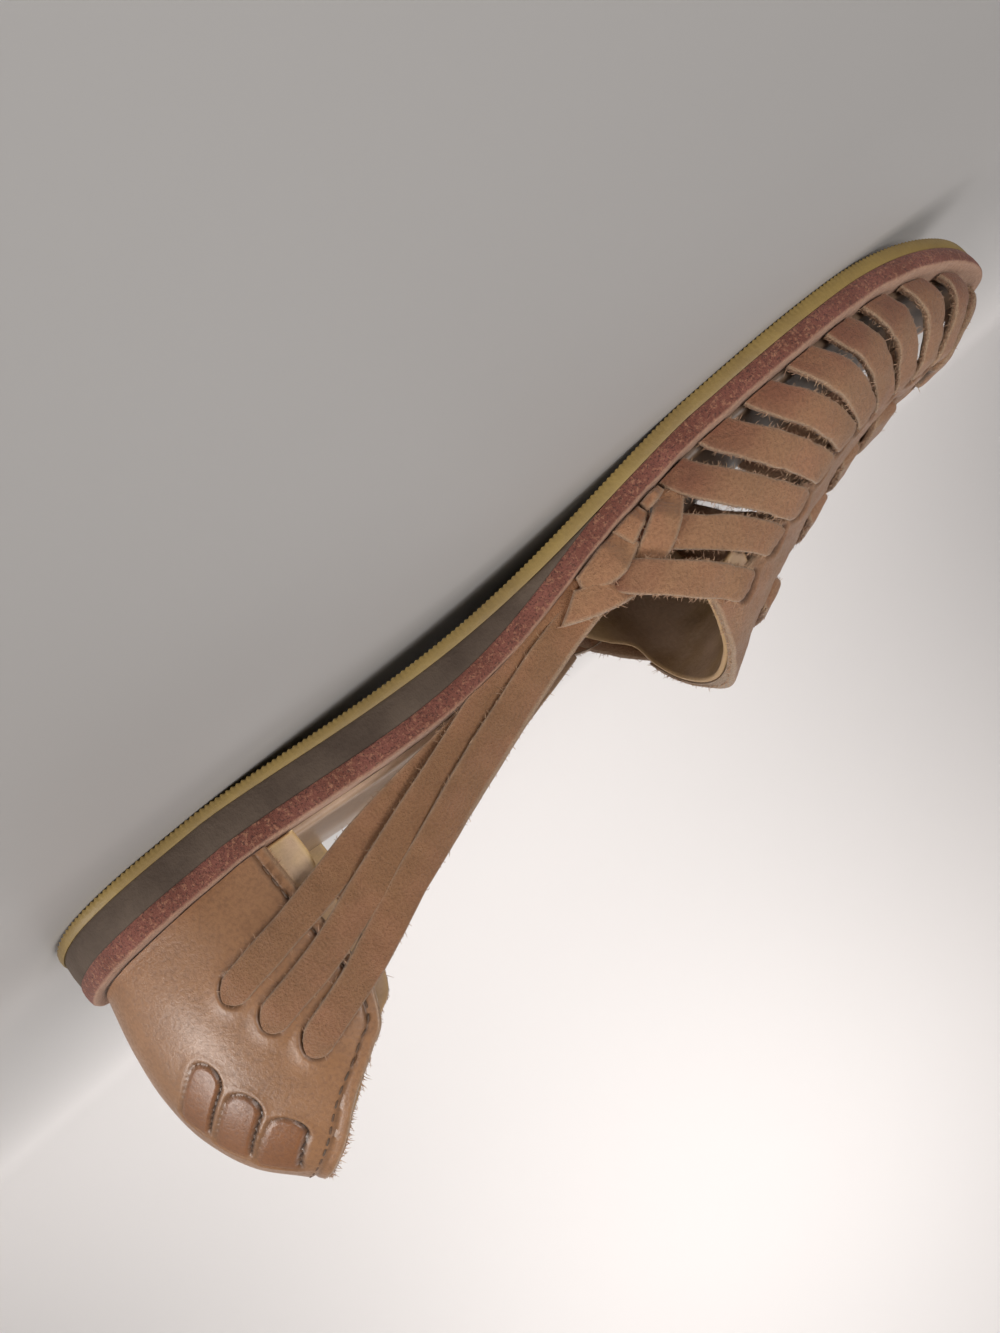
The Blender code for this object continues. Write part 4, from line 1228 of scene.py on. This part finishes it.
def fibre_part(roots, outs, lengths, radius, seed):
    """Loose fibres of a raw edge: thin three-sided spikes that curl away from their roots."""
    draw = np.random.default_rng(seed)
    count = len(roots)
    aim = unit(outs + 0.65 * draw.normal(size=(count, 3)))
    curl = unit(draw.normal(size=(count, 3)))
    side = unit(np.cross(aim, curl))
    other = np.cross(aim, side)
    steps = np.array([-0.15, 0.4, 0.75])
    centre = roots[:, None] + aim[:, None] * (lengths[:, None] * steps)[..., None]
    centre = centre + curl[:, None] * (0.45 * lengths[:, None] * steps ** 2)[..., None]
    tip = roots + (aim + 0.45 * curl) * lengths[:, None]
    turn = np.linspace(0.0, 2.0 * np.pi, 4)[:-1]
    thick = radius * np.array([1.0, 0.8, 0.5])
    ring = np.cos(turn)[:, None] * side[:, None, None] + np.sin(turn)[:, None] * other[:, None, None]
    rings = centre[:, :, None] + thick[None, :, None, None] * ring
    points = np.concatenate([rings.reshape(count, 9, 3), tip[:, None]], axis=1)
    one = [[0, 1, 4, 3], [1, 2, 5, 4], [2, 0, 3, 5], [3, 4, 7, 6], [4, 5, 8, 7], [5, 3, 6, 8],
           [6, 7, 9], [7, 8, 9], [8, 6, 9], [0, 2, 1]]
    faces = []
    for face in one:
        faces += (np.arange(count)[:, None] * 10 + np.array(face)).tolist()
    return points.reshape(-1, 3), faces, {}


def edge_roots(rings, columns, density, seed):
    """Random roots along one edge of a strip's rings, with the directions that point out of it."""
    draw = np.random.default_rng(seed)
    edge = rings[:, columns]
    middle = rings.mean(axis=1)
    length = np.linalg.norm(np.diff(edge[:, 0], axis=0), axis=1).sum()
    count = max(int(length * density), 2)
    place = draw.uniform(0.0, len(rings) - 1.001, count)
    row, part = place.astype(int), place % 1.0
    column = draw.integers(0, len(columns), count)
    roots = edge[row, column] * (1.0 - part)[:, None] + edge[row + 1, column] * part[:, None]
    outs = unit(roots - (middle[row] * (1.0 - part)[:, None] + middle[row + 1] * part[:, None]))
    return roots, outs


# What the operators leave for the ones after them: the points of the strips, straps, patches and edges
BUILT = {}


def measure(name, description, default, least, most):
    """A length property."""
    return bpy.props.FloatProperty(name=name, description=description, default=default, min=least, max=most,
                                   unit='LENGTH', precision=5)


class SandalSizes(bpy.types.PropertyGroup):
    """Sizes that a user would change."""

    strip_width: measure("Strip width", "Width of the vamp's strips", 0.0072, 0.004, 0.009)
    strap_width: measure("Strap width", "Width of the side straps", STRAP_WIDTH, 0.004, 0.009)
    rib_pitch: measure("Rib pitch", "Distance between the ribs under the outsole", 0.00115, 0.0008, 0.004)
    rib_depth: measure("Rib depth", "Depth of the ribs under the outsole", 0.0004, 0.0, 0.001)
    stitch_length: measure("Stitch length", "Length of a stitch on the heel counter", 0.0021, 0.001, 0.005)
    seam_inset: measure("Seam inset", "Distance of the seam from the counter's edge",
                        SEAM_INSET, 0.0015, 0.005)
    fibre_length: measure("Fibre length", "Length of the loose fibres on raw edges", 0.0013, 0.0, 0.002)


def tint(name, description, colour):
    """A colour property."""
    return bpy.props.FloatVectorProperty(name=name, description=description, subtype='COLOR', size=3,
                                         default=colour, min=0.0, max=1.0)


class SandalColours(bpy.types.PropertyGroup):
    """Colours that a user would change."""

    vamp: tint("Vamp leather", "Main colour of the vamp", (0.355, 0.176, 0.080))
    blush: tint("Warm patches", "Colour of the warmer patches in the leather", (0.365, 0.160, 0.074))
    strap: tint("Strap leather", "Main colour of the side straps", (0.290, 0.134, 0.052))
    counter: tint("Counter leather", "Main colour of the heel counter", (0.300, 0.148, 0.068))
    counter_light: tint("Counter patches", "Colour of the counter's lighter patches", (0.340, 0.170, 0.080))
    raw_edge: tint("Raw edge", "Colour of cut fibres", (0.50, 0.33, 0.205))
    lining: tint("Counter lining", "Colour of the counter's and the throat's lining", (0.42, 0.270, 0.135))
    tongue: tint("Lining's end", "Colour of the lining ahead of the counter", (0.60, 0.42, 0.20))
    insole: tint("Insole", "Colour of the insole", (0.56, 0.39, 0.27))
    insole_shade: tint("Insole shade", "Colour of the insole's darker patches", (0.47, 0.32, 0.21))
    # Partly wear, partly painted shade under the vamp
    insole_toe_wear_and_shade: tint("Worn insole", "Colour of the insole's forefoot", (0.15, 0.095, 0.06))
    wedge: tint("Wedge", "Colour of the wedge", (0.062, 0.040, 0.027))
    wedge_light: tint("Wedge patches", "Colour of the wedge's lighter patches", (0.102, 0.070, 0.048))
    rubber: tint("Outsole", "Colour of the outsole's rubber", (0.290, 0.195, 0.056))
    rubber_shade: tint("Outsole shade", "Colour of the outsole's darker patches", (0.215, 0.140, 0.046))
    board: tint("Board", "Colour of the leather board's edge", (0.145, 0.042, 0.024))
    speckle: tint("Board crumbs", "Colour of the board's pale crumbs", (0.36, 0.165, 0.095))
    # Partly wear, partly a painted highlight where light catches the board's top edge
    lip: tint("Board lip", "Colour of the board's worn top edge", (0.42, 0.245, 0.160))
    thread: tint("Thread", "Colour of the counter's stitches", (0.13, 0.070, 0.040))


class SANDAL_OT_sole(bpy.types.Operator):
    """Make the outsole with its ribs, the wedge, the board midsole and the insole."""

    bl_idname = "sandal.sole"
    bl_label = "Sole"

    def execute(self, context):
        sizes = context.scene.sandal_sizes

        def teeth(along):
            """Saw teeth: the share of the pitch, folded at its middle, times the depth."""
            share = (along / sizes.rib_pitch) % 1.0
            return sizes.rib_depth * np.abs(2.0 * share - 1.0)

        rings, _ = layer_part(ground, outsole_top, OUTSOLE_WALL, 1900, 6, teeth=teeth)
        make_piece("ribbed_outsole", [tube_part(rings)], finish("rubber"), ["outsole"])
        reach = np.linspace(0.0, SOLE_LENGTH, 800)
        end = reach[wedge_lift(reach) > 0.00012][-1] / SOLE_LENGTH
        rings, _ = layer_part(lambda x: outsole_top(x) + 0.00003,
                              lambda x: outsole_top(x) + wedge_lift(x) + 0.0002, WEDGE_WALL, 420, 4, end=end)
        make_piece("foam_wedge", [tube_part(rings)], finish("wedge"), ["wedge"])
        rings, lip = layer_part(lambda x: midsole_low(x) - 0.00022, footbed, BOARD_WALL, 620, 8)
        wander = 0.00009 * ripples(rings, 0.010, 3)
        rings[..., 2] += wander * lip
        board_part = tube_part(rings, lip=lip)
        make_piece("board_midsole", [board_part], finish("board"), ["midsole"])
        inset = RIM + LEATHER + STEP / 2.0 + 2.0 * CLEARANCE
        wall = [(share, inset + more) for share, more in LINING_WALL]
        rings, lip = layer_part(lambda x: footbed(x) + OFF_BOARD,
                                lambda x: footbed(x) + CLEARANCE + INSOLE_THICKNESS, wall, 300, 14)
        rings[..., 2] += 0.00010 * ripples(rings, 0.020, 4) * lip
        make_piece("lining_insole", [tube_part(rings)], finish("insole"), ["insole"])
        return {'FINISHED'}


class SANDAL_OT_vamp(bpy.types.Operator):
    """Make the vamp: its centre panel with slits, the strips, the crossings, the toe piece and the weave."""

    bl_idname = "sandal.vamp"
    bl_label = "Vamp"

    def execute(self, context):
        width = context.scene.sandal_sizes.strip_width
        BUILT["strips"], BUILT["patches"] = [], []
        BUILT["panel"], part = panel_part(width)
        make_piece("vamp_panel", [part], finish("vamp"), ["vamp"])
        make_piece("throat_lining", [lining_part()], finish("lining"))
        for side, side_name in ((1.0, "medial"), (-1.0, "lateral")):
            parts = []
            for number in range(len(STRIPS)):
                rings, part = strip_part(number, side, width)
                BUILT["strips"].append(rings)
                parts.append(part)
            make_piece(f"vamp_strips_{side_name}", parts, finish("vamp"))
            parts = []
            for number, row in enumerate(WEAVE):
                face, part = weave_part(row, side, 300 + number)
                BUILT["patches"].append(face)
                parts.append(part)
            make_piece(f"woven_corner_{side_name}", parts, finish("vamp"))
        parts = []
        for number in range(len(CROSSINGS)):
            rings, part = crossing_part(number, width)
            BUILT["strips"].append(rings)
            parts.append(part)
        make_piece("ridge_crossings", parts, finish("vamp"))
        run = np.linspace(0.0, 1.0, 70)
        down, share = 1.0 + (0.22 - 1.0) * run, np.ones(70)
        away = distance_along(vamp_point(share, down)[::-1])[::-1]
        half = round_end(away, TOE_PIECE_WIDTH / 2.0, TOE_PIECE_TIP)
        low, high = smooth(away, STRIP_LIFT, 1) + 0.0006, smooth(away, STRIP_LIFT, 2) + 0.0008
        rings = ribbon(vamp_point, share, down, half, low, high, seed=500)
        BUILT["strips"].append(rings)
        tones = strip_tones(away, 40)
        make_piece("toe_piece", [tube_part(rings, **tones)], finish("vamp"))
        return {'FINISHED'}


class SANDAL_OT_straps(bpy.types.Operator):
    """Make the side straps, three a side."""

    bl_idname = "sandal.straps"
    bl_label = "Side straps"

    def execute(self, context):
        width = context.scene.sandal_sizes.strap_width
        BUILT["straps"] = []
        for side, side_name in ((1.0, "medial"), (-1.0, "lateral")):
            parts = []
            for number in range(len(STRAPS)):
                rings, part = strap_part(number, side, width)
                BUILT["straps"].append(rings)
                parts.append(part)
            node = f"side_straps_{side_name}"
            make_piece(f"waist_straps_{side_name}", parts, finish("strap"), [node])
        return {'FINISHED'}


class SANDAL_OT_counter(bpy.types.Operator):
    """Make the heel counter with its slits and tabs, its lining and its stitches."""

    bl_idname = "sandal.counter"
    bl_label = "Heel counter"

    def execute(self, context):
        if "straps" not in BUILT:
            raise RuntimeError("Make the side straps before the counter, whose slits follow their ends.")
        sizes = context.scene.sandal_sizes
        around, points, out, edge = counter_surface(330, 112)
        face, raw, slit, tab = counter_relief(around, points, edge, BUILT["straps"])
        # the slit tone paints shade in the counter's slits and along its seam
        shell = grid_part(points - out * 0.0012, points + out * face[..., None], raw=raw, slit=slit, tab=tab)
        make_piece("counter_shell", [shell], finish("counter"), ["heel_counter"])
        _, points, out, edge = counter_surface(110, 40)
        inner = points - out * (0.0021 - 0.5 * rounding(edge, 0.0005))[..., None]
        sheet = grid_part(inner, points - out * 0.00125, raw=np.maximum(1.0 - edge / RAW_EDGE, 0.0))
        make_piece("counter_lining", [sheet], finish("lining"))
        BUILT["collar"] = points - out * 0.0006
        tongues = [tongue_part(side) for side in (1.0, -1.0)]
        make_piece("lining_tongue", tongues, finish("tongue"))
        path, out = seam_path(sizes.seam_inset)
        stitches = stitch_parts(path, out, sizes.stitch_length, STITCH_GAP, THREAD_RADIUS)
        make_piece("counter_stitches", stitches, finish("thread"))
        return {'FINISHED'}


class SANDAL_OT_fibres(bpy.types.Operator):
    """Make the loose fibres along the raw edges of strips, straps, panel and counter."""

    bl_idname = "sandal.fibres"
    bl_label = "Loose fibres"

    def execute(self, context):
        if not {"panel", "collar"} <= BUILT.keys():
            raise RuntimeError("Make the vamp and the heel counter before their loose fibres.")
        long = context.scene.sandal_sizes.fibre_length
        draw = np.random.default_rng(77)
        groups = {"vamp_fibres": [], "counter_fibres": []}
        for kind, density, seed in (("strips", 3600, 700), ("straps", 700, 900)):
            for number, rings in enumerate(BUILT[kind]):
                for columns in ([0, 1, 2], [12, 13, 14]):
                    groups["vamp_fibres"].append(edge_roots(rings, columns, density, seed + number))
        for number, face in enumerate(BUILT["patches"]):
            roots, _ = edge_roots(face[:, :3], [0, 0, 1], 2200, 1000 + number)
            groups["vamp_fibres"].append((roots, unit(np.broadcast_to([0.0, 0.2, 1.0], roots.shape))))
        groups["vamp_fibres"].append(edge_roots(BUILT["panel"][:3].swapaxes(0, 1), [0], 3400, 1100))
        collar = BUILT["collar"]
        groups["counter_fibres"].append(edge_roots(collar[:, :-4:-1], [0], 2600, 1200))
        groups["counter_fibres"].append(edge_roots(collar[:3].swapaxes(0, 1), [0], 1800, 1300))
        groups["counter_fibres"].append(edge_roots(collar[:-4:-1].swapaxes(0, 1), [0], 1800, 1299))
        for number, (name, found) in enumerate(groups.items()):
            roots = np.concatenate([pair[0] for pair in found])
            outs = np.concatenate([pair[1] for pair in found])
            lengths = long * draw.uniform(0.15, 1.0, len(roots)) ** 1.7 + 0.00015
            part = fibre_part(roots, outs, lengths, FIBRE_RADIUS, 1400 + number)
            make_piece(name, [part], finish("fibre"))
        return {'FINISHED'}


# Camera: turned this far off the side, above the horizon and rolled, in degrees, at a point in metres
# from the sole's back edge; and the turn of the photograph's frame against the floor
CAMERA_TURN = (8.38, 8.57, -0.47)
CAMERA_PLACE = (0.0666, 0.2205, 0.0359)
FRAME_ACROSS = (0.7597, 0.6503)
PHOTO_HEIGHT = 1333.0
FOCAL_PIXELS = 1000.0
SHIFT_PIXELS = 72.0


# Lights: name, place, target, size, power in watts, colour
LIGHTS = (
    ("heel_key", (-0.80, 0.36, 0.15), (0.06, 0.0, 0.02), (0.42, 0.42), 6.6, (1.0, 0.975, 0.945)),
    ("side_fill", (0.30, 0.80, 0.50), (0.12, 0.0, 0.02), (0.5, 0.4), 4.9, (1.0, 0.985, 0.97)),
    ("overhead", (0.10, -0.35, 1.05), (0.10, -0.25, 0.0), (1.1, 0.7), 2.2, (1.0, 0.985, 0.97)),
    ("backdrop_wash", (0.10, -0.45, 0.95), (0.10, -1.5, 0.30), (1.2, 0.5), 9.0, (1.0, 0.975, 0.965)),
)


def camera_matrix():
    """The camera's place: it looks across the shoe, rolled until the sole rises to the upper right."""
    azimuth, elevation, roll = (math.radians(angle) for angle in CAMERA_TURN)
    ahead = np.array([math.sin(azimuth) * math.cos(elevation), -math.cos(azimuth) * math.cos(elevation),
                      -math.sin(elevation)])
    right = unit(np.cross(ahead, [0.0, 0.0, 1.0]))
    up = np.cross(right, ahead)
    right, up = (right * math.cos(roll) + up * math.sin(roll), up * math.cos(roll) - right * math.sin(roll))
    level, steep = FRAME_ACROSS
    across, upwards = steep * up - level * right, -steep * right - level * up
    place = np.array(CAMERA_PLACE) - np.array([ORIGIN_SHARE * SOLE_LENGTH, 0.0, 0.0])
    rows = [[across[axis], upwards[axis], -ahead[axis], place[axis]] for axis in range(3)]
    return Matrix((*rows, (0.0, 0.0, 0.0, 1.0)))


def add_light(name, place, target, size, power, colour):
    """An area light that looks at a target."""
    data = bpy.data.lights.new(name, 'AREA')
    data.shape = 'RECTANGLE'
    data.size, data.size_y = size
    data.energy = power
    data.color = colour
    light = bpy.data.objects.new(name, data)
    aim = unit(np.array(target) - np.array(place))
    side = unit(np.cross(aim, [0.0, 0.0, 1.0] if abs(aim[2]) < 0.99 else [0.0, 1.0, 0.0]))
    above = np.cross(side, aim)
    rows = [[side[axis], above[axis], -aim[axis], place[axis]] for axis in range(3)]
    light.matrix_world = Matrix((*rows, (0.0, 0.0, 0.0, 1.0)))
    bpy.context.scene.collection.objects.link(light)


class SANDAL_OT_stage(bpy.types.Operator):
    """Make the pale floor, with painted shade towards the camera, the soft studio light and the camera."""

    bl_idname = "sandal.stage"
    bl_label = "Stage"

    def execute(self, context):
        run = np.linspace(0.0, 1.0, 90)
        back, radius = 0.75, 0.60
        turn = np.clip((run - 0.45) / 0.35, 0.0, 1.0) * np.pi / 2.0
        out = np.interp(run, [0.0, 0.45], [-1.4, back]) + radius * np.sin(turn)
        rise = radius * (1.0 - np.cos(turn)) + np.interp(run, [0.80, 1.0], [0.0, 2.2])
        across = np.linspace(-3.0, 3.0, 3)
        grid = np.zeros((90, 3, 3))
        grid[..., 0] = across[None, :]
        grid[..., 1] = -out[:, None]
        grid[..., 2] = rise[:, None] - 0.00002
        index = np.arange(270).reshape(90, 3)
        quads = np.stack([index[:-1, :-1], index[:-1, 1:], index[1:, 1:], index[1:, :-1]], axis=-1)
        mesh = bpy.data.meshes.new("floor")
        mesh.from_pydata(grid.reshape(-1, 3).tolist(), [], quads.reshape(-1, 4).tolist())
        mesh.shade_smooth()
        material, tree, shader, place = start_material("pale_floor", 0.50, specular=0.35)
        depth = add_node(tree, "ShaderNodeSeparateXYZ", {0: place}).outputs["Y"]
        # Painted shade: the floor is darker near the camera and paler towards the back.
        far = ramp(tree, depth, 0.10, -0.55)
        tree.links.new(mix(tree, far, (0.46, 0.445, 0.435, 1.0), (0.80, 0.77, 0.755, 1.0)),
                       shader.inputs["Base Color"])
        mesh.materials.append(material)
        floor = bpy.data.objects.new("floor", mesh)
        context.scene.collection.objects.link(floor)
        for light in LIGHTS:
            add_light(*light)
        world = bpy.data.worlds.new("studio")
        world.use_nodes = True
        sky = world.node_tree.nodes["Background"]
        sky.inputs["Color"].default_value = (0.94, 0.93, 0.92, 1.0)
        sky.inputs["Strength"].default_value = 0.15
        context.scene.world = world
        context.scene.view_settings.view_transform = 'Standard'
        data = bpy.data.cameras.new("camera")
        data.sensor_width = 36.0
        data.lens = 36.0 * FOCAL_PIXELS / PHOTO_HEIGHT
        data.shift_x = SHIFT_PIXELS / PHOTO_HEIGHT
        data.clip_start = 0.01
        camera = bpy.data.objects.new("camera", data)
        camera.matrix_world = camera_matrix()
        context.scene.collection.objects.link(camera)
        context.scene.camera = camera
        return {'FINISHED'}


class SANDAL_PT_panel(bpy.types.Panel):
    """The sandal's panel in the 3D view's sidebar."""

    bl_idname = "SANDAL_PT_panel"
    bl_label = "Huarache sandal"
    bl_space_type = 'VIEW_3D'
    bl_region_type = 'UI'
    bl_category = "Sandal"

    def draw(self, context):
        for group in (context.scene.sandal_sizes, context.scene.sandal_colours):
            for name in group.__annotations__:
                self.layout.prop(group, name)
        for step in STEPS:
            self.layout.operator(step.bl_idname)


STEPS = (SANDAL_OT_sole, SANDAL_OT_vamp, SANDAL_OT_straps, SANDAL_OT_counter, SANDAL_OT_fibres,
         SANDAL_OT_stage)
CLASSES = (SandalSizes, SandalColours, *STEPS, SANDAL_PT_panel)


def register():
    """Register the classes and hang the settings on the scene."""
    for kind in CLASSES:
        bpy.utils.register_class(kind)
    bpy.types.Scene.sandal_sizes = bpy.props.PointerProperty(type=SandalSizes)
    bpy.types.Scene.sandal_colours = bpy.props.PointerProperty(type=SandalColours)


def unregister():
    """Take the settings off the scene and unregister the classes."""
    del bpy.types.Scene.sandal_colours
    del bpy.types.Scene.sandal_sizes
    for kind in reversed(CLASSES):
        bpy.utils.unregister_class(kind)


def main():
    """Make every piece."""
    register()
    bpy.ops.sandal.sole()
    bpy.ops.sandal.vamp()
    bpy.ops.sandal.straps()
    bpy.ops.sandal.counter()
    bpy.ops.sandal.fibres()
    bpy.ops.sandal.stage()


if __name__ == "__main__":
    main()
